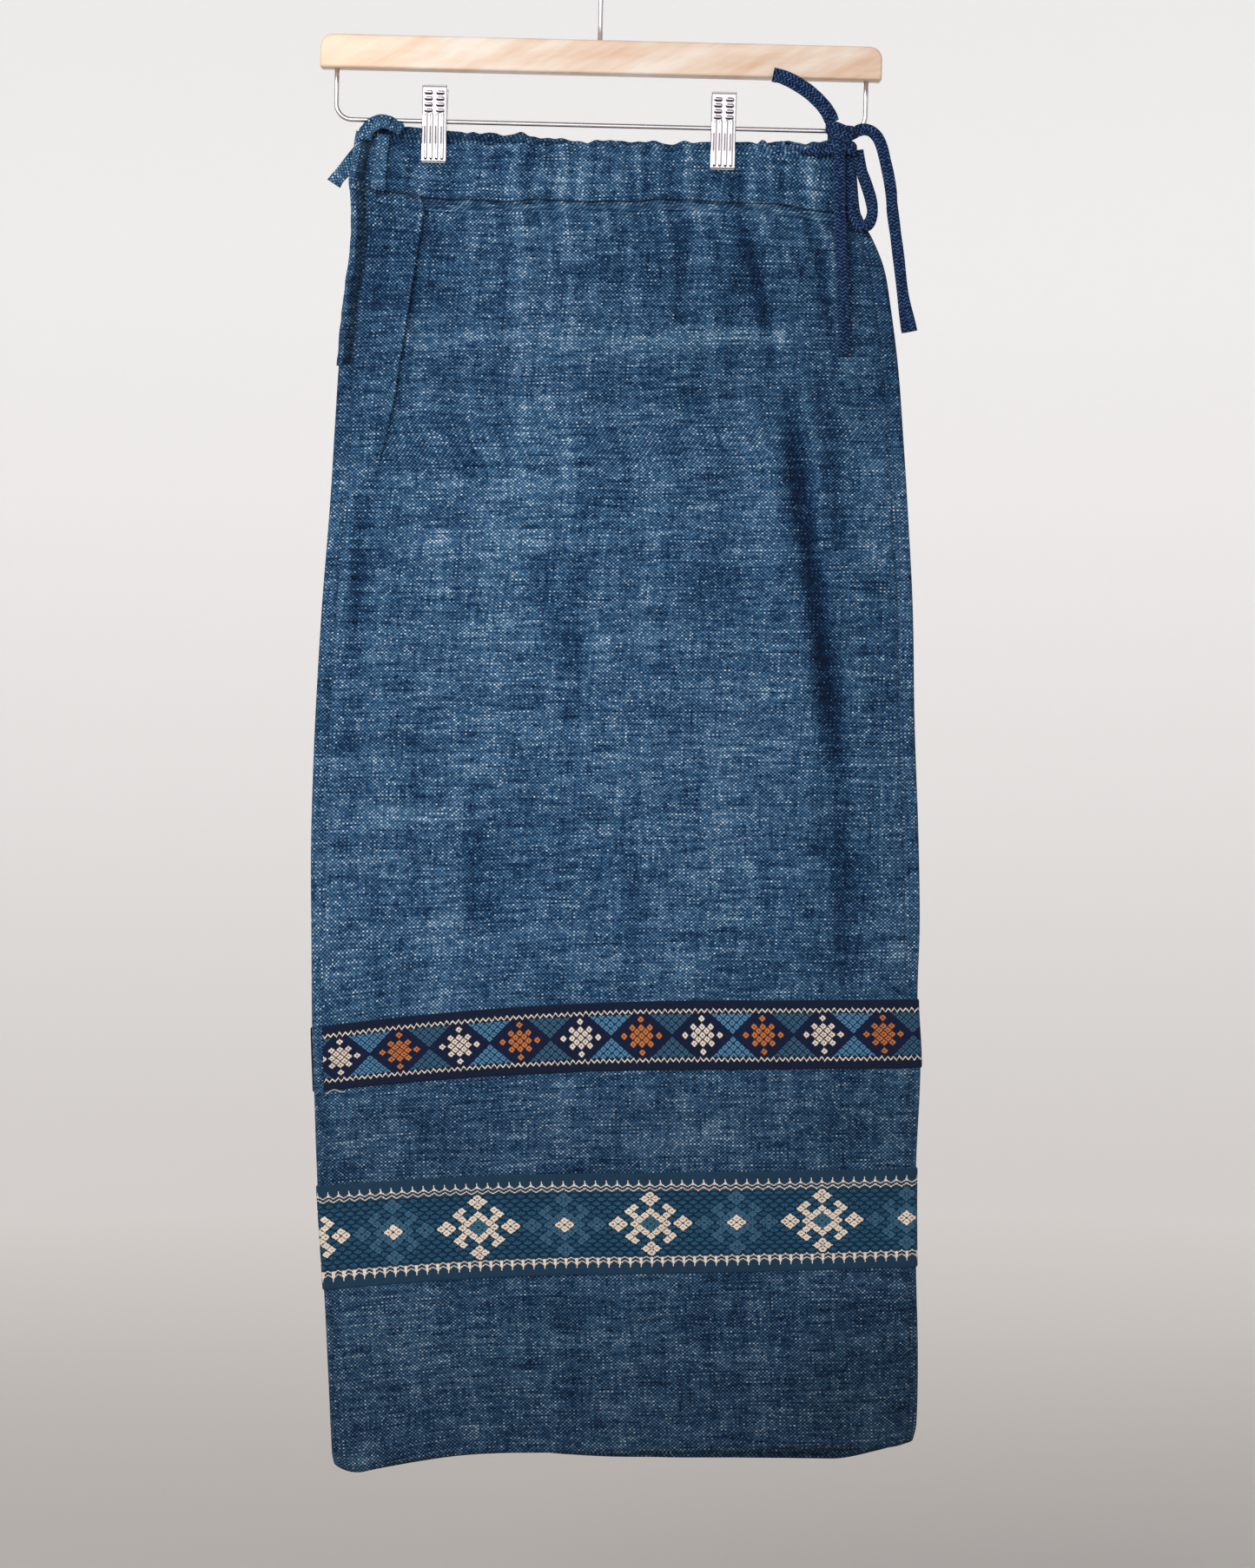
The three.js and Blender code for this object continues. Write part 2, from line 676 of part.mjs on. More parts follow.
function clipSpring() {
  const { inner, outer, length } = SPRING;
  const profile = [
    [inner, -length / 2], [outer, -length / 2], [outer, length / 2], [inner, length / 2],
    [inner, -length / 2],
  ].map(([r, h]) => new THREE.Vector2(r, h));
  const geometry = new THREE.LatheGeometry(profile, 12);
  geometry.rotateZ(Math.PI / 2);
  return geometry;
}

function clip(side) {
  const group = new THREE.Group();
  const front = named(`clip_${side}_front`, clipPlate(), 'brightSteel');
  const back = named(`clip_${side}_back`, clipPlate(), 'brightSteel');
  back.rotation.z = Math.PI;
  group.add(front, back, named(`clip_${side}_spring`, clipSpring(), 'brightSteel'));
  group.position.set(CLIP_PLACES[side], 0, FRAME.bottom);
  return group;
}

function hanger() {
  const group = new THREE.Group();
  group.add(named('hanger_hook', hookWire(), 'brightSteel'));
  group.add(named('hanger_bar', barBoard(), 'paleWood'));
  group.add(named('hanger_wire', frameWire(), 'brightSteel'));
  for (const side of Object.keys(CLIP_PLACES)) group.add(clip(side));
  group.rotation.y = HANGER_TILT;
  return group;
}

// Skirt

function skirt() {
  const group = new THREE.Group();
  const wall = (name, finish, rows, places, above, thick) => {
    group.add(named(name, clothWall(rows, places, above, thick), finish));
  };
  const panelRows = rowsBetween(CASING_SEAM_Z - GAP / 2, HEM_Z);
  const casingEnd = CASING_SEAM_Z + GAP / 2;
  wall('skirt_front', 'indigoCotton', panelRows, frontPlaces, 0, CLOTH_WALL);
  wall('skirt_back', 'indigoCotton', panelRows, backPlaces, 0, CLOTH_WALL);
  wall('casing_front', 'indigoCotton', rowsBetween(FRONT_WAIST_Z, casingEnd), frontPlaces, 0, CASING_WALL);
  wall('casing_back', 'indigoCotton', rowsBetween(BACK_WAIST_Z, casingEnd), backPlaces, 0, CASING_WALL);
  const bandTop = GAP + BAND_WALL;
  const upper = [UPPER_BAND.top, UPPER_BAND.bottom];
  const lower = [LOWER_BAND.top, LOWER_BAND.bottom];
  wall('band_upper_front', 'upperBrocade', upper, upperBandFront, bandTop, BAND_WALL);
  wall('band_upper_back', 'upperBrocade', upper, bandBack, bandTop, BAND_WALL);
  wall('band_lower_front', 'lowerBrocade', lower, lowerBandFront, bandTop, BAND_WALL);
  wall('band_lower_back', 'lowerBrocade', lower, bandBack, bandTop, BAND_WALL);
  const placketRows = rowsBetween(FRONT_WAIST_Z, PLACKET_END_Z);
  wall('placket_strip', 'indigoCotton', placketRows, placketPlaces, GAP + STRIP_WALL, STRIP_WALL);
  for (const name of ['placket_arch', 'carrier_strip', 'tie_end']) {
    group.add(named(name, flatStrip(STRIP_ROUTES[name]), 'indigoCotton'));
  }
  return group;
}

function drawstring() {
  const group = new THREE.Group();
  group.add(named('drawstring_root', flatStrip(STRIP_ROUTES.drawstring_root), 'navyBraid'));
  const knot = new THREE.SphereGeometry(0.5, 12, 8);
  knot.scale(KNOT.width, KNOT.thick, KNOT.height);
  const knotMesh = named('drawstring_knot', knot, 'navyBraid');
  knotMesh.position.set(KNOT.x, KNOT.y, KNOT.z);
  group.add(knotMesh);
  for (const [name, route] of Object.entries(CORD_ROUTES)) {
    group.add(named(name, flatCord(route), 'navyBraid'));
  }
  return group;
}

const part = new THREE.Group();
part.add(skirt(), drawstring(), hanger());

export default part;
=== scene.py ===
"""Indigo tube skirt with a drawstring waist and two brocade bands, on a wooden clip hanger."""

import logging
import math
from dataclasses import dataclass, field
from enum import Enum
from typing import Sequence

import bmesh
import bpy
import numpy as np
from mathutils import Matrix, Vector


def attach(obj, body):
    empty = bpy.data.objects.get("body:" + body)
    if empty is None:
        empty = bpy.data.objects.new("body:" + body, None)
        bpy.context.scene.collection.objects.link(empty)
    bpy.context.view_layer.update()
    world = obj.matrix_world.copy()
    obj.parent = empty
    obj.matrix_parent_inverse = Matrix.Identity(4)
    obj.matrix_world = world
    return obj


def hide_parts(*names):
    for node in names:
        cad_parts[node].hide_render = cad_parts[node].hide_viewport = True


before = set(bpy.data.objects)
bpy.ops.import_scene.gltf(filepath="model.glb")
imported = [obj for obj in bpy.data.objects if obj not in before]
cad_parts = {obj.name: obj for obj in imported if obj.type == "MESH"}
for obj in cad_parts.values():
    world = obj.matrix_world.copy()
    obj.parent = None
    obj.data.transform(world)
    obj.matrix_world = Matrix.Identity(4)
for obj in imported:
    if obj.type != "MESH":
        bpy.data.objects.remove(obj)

LOG = logging.getLogger("skirt")
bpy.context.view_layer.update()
BODY = "root"
MM = 0.001

Points = np.ndarray
Faces = list[tuple[int, ...]]

# A row for each level section of the tube, in millimetres, with the columns named below it.
SECTIONS = np.array([
    (-158, -168.5, 174.3, 3.5, 10.8, -6, 0.25, 0, 0, 0),
    (-179, -172, 175.5, 3.6, 10.8, -8, 0.28, 0, 6, 0),
    (-198.8, -174.3, 178.5, 4.2, 10.8, -12, 0.3, 0, 12, 0),
    (-216, -172.7, 186, 5.6, 10.8, -8, 0.3, 0, 9, 0),
    (-240, -174, 194, 7, 10.8, -3, 0.3, 0, 5, 0),
    (-265, -178, 198, 8.2, 10.8, 0, 0.3, 0, 2, 0),
    (-313, -182.8, 203.8, 10, 10.8, 0, 0.4, 0, 0, 0),
    (-360, -185.8, 207.3, 11, 10.8, 0, 0.5, 0, 0, 0),
    (-408, -188.8, 210.3, 12, 10.8, 0, 0.5, 0, 0, 0),
    (-480, -194.5, 214, 13.3, 10.8, 0, 0.5, 0, 0, 0),
    (-560, -199.2, 215.3, 14.2, 10.8, 0, 0.6, 0, 0, 0),
    (-640, -202, 218, 15, 10.8, 4, 0.66, 0, 0, 0),
    (-700, -201.7, 218.8, 15.5, 10, 12, 0.66, 0, 0, 0),
    (-750.6, -201.3, 217.3, 15.8, 7.8, 19.5, 0.66, 0, 0, 0),
    (-797.9, -199.8, 219.3, 16.2, 7.6, 15.5, 0.6, 1.2, 0, 0),
    (-866.9, -197.5, 216.3, 16.6, 5.2, 8.5, 0.45, 4, 0, 0),
    (-935.3, -193, 216.3, 17, 5.2, 10, 0.45, 6, 0, 0),
    (-995, -190, 217.5, 17.5, 5.2, 14, 0.4, 3, 0, 0),
    (-1046, -187.5, 216.5, 18, 5.2, 20, 0.34, 1.8, 0, 4),
    (-1059.5, -186, 214, 18, 5.2, 21, 0.33, 1.8, 0, 11),
])
SECTION_COLUMNS = ("z", "left", "right", "depth", "seam", "droop", "reach", "tilt", "sag", "lift")

# Gathers drawn up by the cord: place across, rise, width and run below the casing seam.
FRONT_GATHERS = (
    (0.126, 1.0, 6, 40), (0.221, 1.4, 6, 70), (0.26, 1.5, 6, 60), (0.319, 2.0, 7, 150),
    (0.367, 1.4, 5, 110), (0.41, 2.0, 6, 140), (0.453, 1.4, 6, 60), (0.491, 1.5, 5, 70),
    (0.529, 1.8, 6, 80), (0.566, 1.4, 5, 60), (0.602, 1.7, 6, 90), (0.667, 1.8, 6, 120),
    (0.707, 1.2, 5, 60), (0.795, 1.7, 6, 110), (0.833, 1.8, 6, 90), (0.867, 1.5, 5, 70),
    (0.914, 1.8, 6, 90),
)
BACK_GATHERS = (
    (0.07, 1.5, 6, 60), (0.13, 1.8, 7, 90), (0.21, 1.4, 6, 70), (0.34, 1.8, 6, 110),
    (0.4, 1.5, 5, 80), (0.45, 2.0, 7, 120), (0.51, 1.4, 5, 60), (0.57, 1.7, 6, 100),
    (0.63, 1.5, 6, 70), (0.69, 2.0, 7, 130), (0.76, 1.4, 5, 60), (0.9, 1.7, 6, 80),
)

# Long creases: top and bottom heights, places across at three heights, half width and rise.
FRONT_CREASES = (
    (-200, -322, 93, 107, 121, 4.5, -2.6), (-290, -640, 117, 149, 166, 8, -5),
    (-600, -760, 164, 167, 168, 13, -2.5), (-202, -262, 118, 131, 143, 3.5, -2.2),
    (-202, -300, 50, 51, 52, 5, -1.8), (-380, -530, -162, -169, -174, 7, -2.5),
    (-210, -300, 144, 152, 158, 4, -1.8), (-300, -470, 146, 158, 166, 6, -2),
    (-420, -540, -26, -25, -24, 16, -1.3), (-610, -730, -85, -84, -83, 16, -1.3),
    (-640, -745, 138, 138, 139, 18, 1.6), (-940, -1059.5, 137, 138, 140, 18, 1.8),
    (-940, -1059.5, -120, -124, -130, 22, 1.6),
)
BACK_CREASES = (
    (-202, -520, -110, -128, -140, 13, -3), (-210, -640, 60, 78, 90, 16, -2.6),
    (-600, -1059.5, 10, 4, -6, 26, 2),
)

# Paler bands of dye: height, half height, left and right ends and strength.
DYE_STRIPES = (
    (-296, 7, -135, 125, 0.32), (-350, 5, -150, 60, 0.14), (-395, 5, -150, -20, 0.2),
    (-434, 6, -150, 10, 0.22), (-500, 9, -120, 90, 0.1), (-622, 6, -170, -110, 0.22),
    (-575, 12, -60, 150, 0.08), (-700, 10, -180, -20, 0.1), (-840, 8, -100, 160, 0.08),
    (-985, 10, -150, 60, 0.1), (-1010, 6, 0, 190, -0.12), (-965, 8, -40, 190, -0.1),
    (-250, 8, -40, 150, -0.1), (-330, 9, 20, 190, -0.1), (-470, 14, 60, 200, -0.1),
)


def linear(hex_colour: str, alpha: float = 1.0) -> tuple[float, float, float, float]:
    """Turn an sRGB hex colour to the linear values that a shader takes.

    Args:
        hex_colour: Six hex digits.
        alpha: Fourth value of the result.

    Returns:
        Red, green, blue and alpha.
    """
    values = [int(hex_colour[i:i + 2], 16) / 255 for i in (0, 2, 4)]
    red, green, blue = (v / 12.92 if v <= 0.04045 else ((v + 0.055) / 1.055) ** 2.4 for v in values)
    return red, green, blue, alpha


def smooth(value: Points | float, start: float, end: float) -> Points:
    """Rise softly from 0 at start to 1 at end.

    Args:
        value: Where to read the curve.
        start: Value at which it leaves 0.
        end: Value at which it reaches 1.

    Returns:
        The curve's height, 0 to 1.
    """
    share = np.clip((np.asarray(value, float) - start) / (end - start), 0, 1)
    return share * share * (3 - 2 * share)


def square_from(value: Points) -> Points:
    """Return the square of what lies above zero."""
    return np.maximum(value, 0) ** 2


def soft_noise(x: Points, z: Points, size: float, seed: int, waves: int = 9) -> Points:
    """Add up slow waves in seeded directions.

    Args:
        x: Places across, in millimetres.
        z: Heights, in millimetres.
        size: Typical distance from crest to crest, in millimetres.
        seed: Seed of the directions.
        waves: How many waves are added.

    Returns:
        Smooth values of about -1 to 1.
    """
    rng = np.random.default_rng(seed)
    total = 0.0
    for _ in range(waves):
        angle, phase = rng.uniform(0, math.pi), rng.uniform(0, 2 * math.pi)
        turns = 2 * math.pi / (size * rng.uniform(0.7, 1.5))
        total = total + np.sin((x * math.cos(angle) + z * math.sin(angle)) * turns + phase)
    return total / math.sqrt(waves * 1.2)


# Node and material helpers


def node(tree: bpy.types.NodeTree, kind: str, links: dict | None = None, **settings) -> bpy.types.Node:
    """Add a node with its settings and links.

    Args:
        tree: Tree that gets the node.
        kind: Node type.
        links: Input name or number to a value, or to the socket that feeds it.
        settings: Properties of the node.

    Returns:
        The new node.
    """
    made = tree.nodes.new(kind)
    for name, value in settings.items():
        setattr(made, name, value)
    for name, value in (links or {}).items():
        socket = made.inputs[name]
        if isinstance(value, bpy.types.NodeSocket):
            tree.links.new(value, socket)
        else:
            socket.default_value = value
    return made


class Weave:
    """Arithmetic on shader sockets, so that patterns read as sums."""

    def __init__(self, tree: bpy.types.NodeTree) -> None:
        """Keep the tree that gets the nodes."""
        self.tree = tree

    def math(self, operation: str, *values) -> bpy.types.NodeSocket:
        """Return the result of one sum on sockets or numbers."""
        made = node(self.tree, "ShaderNodeMath", dict(enumerate(values)), operation=operation)
        return made.outputs[0]

    def noise(self, vector, scale: float, detail: float = 2, rough: float = 0.5) -> bpy.types.NodeSocket:
        """Return a noise value that is read at a place."""
        links = {"Vector": vector, "Scale": scale, "Detail": detail, "Roughness": rough}
        return node(self.tree, "ShaderNodeTexNoise", links).outputs[0]

    def place(self, x=0.0, y=0.0, z=0.0) -> bpy.types.NodeSocket:
        """Return a vector that is made of three values."""
        return node(self.tree, "ShaderNodeCombineXYZ", {0: x, 1: y, 2: z}).outputs[0]

    def ramp(self, value, stops: Sequence[tuple[float, str]]) -> bpy.types.NodeSocket:
        """Return a colour from a row of places and hex colours.

        Args:
            value: What is looked up.
            stops: Places from 0 to 1, each with its sRGB hex colour.

        Returns:
            The colour.
        """
        made = node(self.tree, "ShaderNodeValToRGB", {0: value})
        band = made.color_ramp
        while len(band.elements) < len(stops):
            band.elements.new(0.5)
        for element, (at, colour) in zip(band.elements, stops):
            element.position, element.color = at, linear(colour)
        return made.outputs[0]

    def mix(self, share, first, second, blend: str = "MIX") -> bpy.types.NodeSocket:
        """Return two colours mixed by a share.

        Args:
            share: Share of the second colour.
            first: First colour.
            second: Second colour.
            blend: How they mix.

        Returns:
            The colour.
        """
        made = node(self.tree, "ShaderNodeMix", data_type="RGBA", blend_type=blend)
        for name, value in zip((0, 6, 7), (share, first, second)):
            if isinstance(value, bpy.types.NodeSocket):
                self.tree.links.new(value, made.inputs[name])
            else:
                made.inputs[name].default_value = value
        return made.outputs[2]

    def bump(self, height, distance: float, strength: float = 1.0, normal=None) -> bpy.types.NodeSocket:
        """Return a normal that is tilted by a height.

        Args:
            height: Height, 0 to 1.
            distance: What a height of 1 is worth, in metres.
            strength: Share of the tilt that is kept.
            normal: Normal to start from.

        Returns:
            The normal.
        """
        links = {"Height": height, "Distance": distance, "Strength": strength}
        if normal is not None:
            links["Normal"] = normal
        return node(self.tree, "ShaderNodeBump", links).outputs[0]


@dataclass(frozen=True)
class Finish:
    """A named surface: what it is and how it takes the light."""

    name: str
    slot: str
    roughness: float = 0.9
    metallic: float = 0.0
    sheen: float = 0.0
    coat: float = 0.0
    specular: float = 0.5

    def start(self) -> tuple[bpy.types.Material, Weave, bpy.types.Node]:
        """Make the material with its shader.

        Returns:
            The material, the sums on its tree and its shader.
        """
        material = bpy.data.materials.new(self.name)
        material.use_nodes = True
        tree = material.node_tree
        tree.nodes.clear()
        shader = node(tree, "ShaderNodeBsdfPrincipled", {
            "Roughness": self.roughness, "Metallic": self.metallic, "Sheen Weight": self.sheen,
            "Sheen Roughness": 0.55, "Coat Weight": self.coat, "Coat Roughness": 0.15,
            "Specular IOR Level": self.specular,
        })
        node(tree, "ShaderNodeOutputMaterial", {"Surface": shader.outputs[0]})
        return material, Weave(tree), shader

    def build(self) -> bpy.types.Material:
        """Make the finished material. Each kind of finish has its own."""
        raise NotImplementedError

    @property
    def material(self) -> bpy.types.Material:
        """The finished material, made once."""
        return bpy.data.materials.get(self.name) or self.build()


@dataclass(frozen=True)
class HandspunCotton(Finish):
    """Plain weave of handspun, indigo dyed cotton: a chequer of uneven threads with pale flecks.

    The real threads are about 0.9 mm apart. They are drawn coarser, so that they show.
    """

    warp: float = 1.4 * MM
    weft: float = 1.2 * MM
    dark: str = "06162f"
    middle: str = "1c4267"
    pale: str = "537a9b"
    fleck: str = "cbd9e0"
    pick_weight: float = 0.9
    end_weight: float = 0.5
    dot_weight: float = 1.5
    over_weight: float = 0.5
    level: float = 0.335
    depth: float = 0.2 * MM

    def build(self) -> bpy.types.Material:
        """Weave the cloth on the UV map, which is in metres along the threads.

        Returns:
            The material.
        """
        material, w, shader = self.start()
        tree = w.tree
        cloth = node(tree, "ShaderNodeUVMap", uv_map="cloth").outputs[0]
        across = node(tree, "ShaderNodeSeparateXYZ", {0: cloth})
        u, v = across.outputs[0], across.outputs[1]
        # Hand beaten rows wander by a thread or two over a hand's breadth.
        wander = w.noise(cloth, 9, 1)
        v = w.math("ADD", v, w.math("MULTIPLY", w.math("SUBTRACT", wander, 0.5), 5 * MM))
        drift = w.noise(w.place(u, v, 3.0), 8, 1)
        u = w.math("ADD", u, w.math("MULTIPLY", w.math("SUBTRACT", drift, 0.5), 3 * MM))
        ends, picks = w.math("DIVIDE", u, self.warp), w.math("DIVIDE", v, self.weft)
        end, pick = w.math("FLOOR", ends), w.math("FLOOR", picks)
        over = w.math("FLOORED_MODULO", w.math("ADD", end, pick), 2.0)
        round_u = w.math("SINE", w.math("MULTIPLY", w.math("SUBTRACT", ends, end), math.pi))
        round_v = w.math("SINE", w.math("MULTIPLY", w.math("SUBTRACT", picks, pick), math.pi))
        dome = w.math("MULTIPLY", w.math("POWER", round_u, 0.5), w.math("POWER", round_v, 0.5))

        def part(value, weight: float) -> bpy.types.NodeSocket:
            """Centre a noise value on zero and weigh it."""
            return w.math("MULTIPLY", w.math("SUBTRACT", value, 0.5), weight)

        # Each thread keeps its own dye along its length: picks run across, ends run down.
        pick_dye = w.noise(w.place(w.math("MULTIPLY", u, 34), w.math("MULTIPLY", pick, 0.83), 0), 1, 2, 0.6)
        end_dye = w.noise(w.place(w.math("MULTIPLY", end, 0.71), w.math("MULTIPLY", v, 40), 5), 1, 2, 0.6)
        # Where a pick passes over an end, its knotty yarn shows as a dot with a dye of its own.
        dot = w.noise(w.place(w.math("MULTIPLY", end, 0.9), w.math("MULTIPLY", pick, 0.9), 2), 1.3, 1)
        # Hanks of yarn took the dye unevenly, so ends fall in long upright streaks and picks in bars.
        streak = w.noise(w.place(w.math("MULTIPLY", u, 75), w.math("MULTIPLY", v, 3.5), 7), 1, 2, 0.65)
        bar = w.noise(w.place(w.math("MULTIPLY", u, 5), w.math("MULTIPLY", v, 95), 4), 1, 2, 0.65)
        # The dye read from the mesh holds real dye changes, and painted light and shade along the gathers and creases.
        dye_and_painted_light = node(tree, "ShaderNodeAttribute", attribute_name="dye_and_painted_light").outputs["Fac"]
        own = w.math("ADD", part(pick_dye, self.pick_weight), part(end_dye, self.end_weight))
        high = w.math("ADD", w.math("MULTIPLY", over, self.over_weight), -0.5 * self.over_weight)
        lift = w.math("MULTIPLY", dome, high)
        dots = w.math("MULTIPLY", w.math("MULTIPLY", part(dot, self.dot_weight), over), dome)
        tone = w.math("ADD", w.math("ADD", own, lift), dots)
        tone = w.math("ADD", w.math("ADD", tone, w.math("ADD", part(streak, 0.25), part(bar, 0.15))), dye_and_painted_light)
        tone = w.math("ADD", tone, self.level)
        colour = w.ramp(tone, ((0.03, self.dark), (0.3, self.middle), (0.6, self.pale), (0.95, self.fleck)))
        # The painted shading, read from the mesh, multiplies the colour: painted light and shade.
        painted_shading = node(tree, "ShaderNodeAttribute", attribute_name="painted_shading").outputs["Fac"]
        colour = w.mix(1.0, colour, w.place(painted_shading, painted_shading, painted_shading), "MULTIPLY")
        tree.links.new(colour, shader.inputs["Base Color"])
        tree.links.new(w.bump(dome, self.depth, 0.4), shader.inputs["Normal"])
        return material


@dataclass(frozen=True)
class Brocade(Finish):
    """Loom-woven brocade: the chart's colours in raised cotton floats with thread shine."""

    thread: float = 0.37 * MM
    relief: float = 0.35 * MM

    def build(self) -> bpy.types.Material:
        """Lay the chart's colours over fine threads.

        Returns:
            The material.
        """
        material, w, shader = self.start()
        tree = w.tree
        cloth = node(tree, "ShaderNodeUVMap", uv_map="cloth").outputs[0]
        across = node(tree, "ShaderNodeSeparateXYZ", {0: cloth})
        u, v = across.outputs[0], across.outputs[1]
        chart = node(tree, "ShaderNodeAttribute", attribute_name="chart")
        strand = w.noise(w.place(w.math("MULTIPLY", u, 90), w.math("DIVIDE", v, self.thread), 0), 1, 2)
        grain = w.noise(cloth, 900, 2)
        age = w.noise(cloth, 40, 3)
        gain = w.math("ADD", w.math("MULTIPLY", strand, 0.8), w.math("MULTIPLY", grain, 0.5))
        gain = w.math("ADD", w.math("ADD", gain, w.math("MULTIPLY", age, 0.3)), 0.2)
        colour = w.mix(1.0, chart.outputs["Color"], w.place(gain, gain, gain), "MULTIPLY")
        tree.links.new(colour, shader.inputs["Base Color"])
        rows = w.math("SINE", w.math("MULTIPLY", w.math("DIVIDE", v, self.thread), math.pi))
        lifted = node(tree, "ShaderNodeAttribute", attribute_name="relief").outputs["Fac"]
        height = w.math("ADD", w.math("MULTIPLY", rows, 0.15), lifted)
        height = w.math("ADD", height, w.math("MULTIPLY", grain, 0.35))
        tree.links.new(w.bump(height, self.relief, 0.7), shader.inputs["Normal"])
        return material


@dataclass(frozen=True)
class Braid(Finish):
    """Flat braid of soft navy cotton yarn: strands that cross in a herringbone, with matt fuzz."""

    plait: float = 2.5 * MM
    dark: str = "040d22"
    middle: str = "142e55"
    pale: str = "466a9f"

    def build(self) -> bpy.types.Material:
        """Plait the strands on the UV map, across the cord and along it in metres.

        Returns:
            The material.
        """
        material, w, shader = self.start()
        tree = w.tree
        cord = node(tree, "ShaderNodeUVMap", uv_map="cloth").outputs[0]
        across = node(tree, "ShaderNodeSeparateXYZ", {0: cord})
        u, v = across.outputs[0], across.outputs[1]
        slant = w.math("MULTIPLY", w.math("ABSOLUTE", w.math("PINGPONG", u, 2.1 * MM)), 0.9)
        strand = w.math("DIVIDE", w.math("ADD", v, slant), self.plait)
        crest = w.math("ABSOLUTE", w.math("SINE", w.math("MULTIPLY", strand, math.pi)))
        yarn = w.noise(cord, 420, 3)
        own = w.noise(w.place(w.math("FLOOR", strand), w.math("MULTIPLY", u, 200), 1), 0.9, 1)
        # Painted light and shade: the crests of the strands are lighter and the grooves between them darker, besides
        # their bump.
        tone = w.math("ADD", w.math("MULTIPLY", crest, 0.5), w.math("MULTIPLY", yarn, 0.5))
        tone = w.math("ADD", tone, w.math("MULTIPLY", own, 0.3))
        colour = w.ramp(tone, ((0.54, self.dark), (0.8, self.middle), (0.98, self.pale)))
        tree.links.new(colour, shader.inputs["Base Color"])
        height = w.math("ADD", crest, w.math("MULTIPLY", yarn, 0.5))
        tree.links.new(w.bump(height, 0.6 * MM, 0.9), shader.inputs["Normal"])
        return material


@dataclass(frozen=True)
class SewingThread(Finish):
    """Twisted cotton sewing thread, matt."""

    colour: str = "1d3558"

    def build(self) -> bpy.types.Material:
        """Colour the thread with a little uneven dye.

        Returns:
            The material.
        """
        material, w, shader = self.start()
        spot = node(w.tree, "ShaderNodeTexCoord").outputs["Object"]
        grain = w.noise(spot, 900, 2)
        colour = w.mix(w.math("MULTIPLY", grain, 0.6), linear(self.colour), (0, 0, 0, 1))
        w.tree.links.new(colour, shader.inputs["Base Color"])
        w.tree.links.new(w.bump(grain, 0.1 * MM), shader.inputs["Normal"])
        return material


@dataclass(frozen=True)
class PaleMaple(Finish):
    """Sawn maple under clear satin lacquer: faint long grain with a soft pinkish flame."""

    pale: str = "f0e3d6"
    warm: str = "e9d2be"
    deep: str = "dfb799"

    def build(self) -> bpy.types.Material:
        """Run the grain along the board, in object coordinates.

        Returns:
            The material.
        """
        material, w, shader = self.start()
        spot = node(w.tree, "ShaderNodeTexCoord").outputs["Object"]
        long = node(w.tree, "ShaderNodeMapping", {"Vector": spot, "Scale": (9, 60, 120)}).outputs[0]
        turned = node(w.tree, "ShaderNodeMapping", {"Vector": spot, "Rotation": (0, 0.42, 0)}).outputs[0]
        flame = node(w.tree, "ShaderNodeMapping", {"Vector": turned, "Scale": (13, 8, 75)}).outputs[0]
        tone = w.math("ADD", w.math("MULTIPLY", w.noise(long, 1, 5, 0.6), 0.35),
                      w.math("MULTIPLY", w.noise(flame, 1, 3, 0.6), 0.9))
        colour = w.ramp(tone, ((0.4, self.deep), (0.6, self.warm), (0.76, self.pale)))
        # The left end is cut from yellower heartwood.
        along = node(w.tree, "ShaderNodeSeparateXYZ", {0: spot}).outputs[0]
        heart = node(w.tree, "ShaderNodeMapRange", {0: along, 1: -0.19, 2: -0.12, 3: 0.45, 4: 0.0}).outputs[0]
        colour = w.mix(heart, colour, linear("ecc79c"))
        w.tree.links.new(colour, shader.inputs["Base Color"])
        pores = node(w.tree, "ShaderNodeMapping", {"Vector": spot, "Scale": (60, 900, 900)}).outputs[0]
        w.tree.links.new(w.bump(w.noise(pores, 1, 2), 0.08 * MM, 0.4), shader.inputs["Normal"])
        return material


@dataclass(frozen=True)
class BrightPlate(Finish):
    """Bright nickel plate on spring steel: clean mirror shine with faint handling haze."""

    colour: str = "e6e3e8"
    shadow_reflection_colour: str = "553a5a"
    haze: float = 0.05

    def build(self) -> bpy.types.Material:
        """Vary the gloss a little over the metal.

        Returns:
            The material.
        """
        material, w, shader = self.start()
        spot = node(w.tree, "ShaderNodeTexCoord").outputs["Object"]
        smear = w.noise(spot, 120, 3)
        gloss = w.math("ADD", w.math("MULTIPLY", smear, self.haze), self.roughness)
        w.tree.links.new(gloss, shader.inputs["Roughness"])
        colour = w.mix(smear, linear(self.colour), linear("f6f3f5"))
        # Painted shadow and reflection: a dark plum marks the shade under the pressed pills and the dark of the room
        # reflected in the ribs' edges, the bent flanges, the inner faces and the wire's sides.
        painted_shadow_and_reflection = node(w.tree, "ShaderNodeAttribute", attribute_name="painted_shadow_and_reflection").outputs["Fac"]
        colour = w.mix(painted_shadow_and_reflection, colour, linear(self.shadow_reflection_colour))
        w.tree.links.new(colour, shader.inputs["Base Color"])
        w.tree.links.new(w.bump(w.noise(spot, 400, 2), 0.02 * MM, 0.3), shader.inputs["Normal"])
        return material


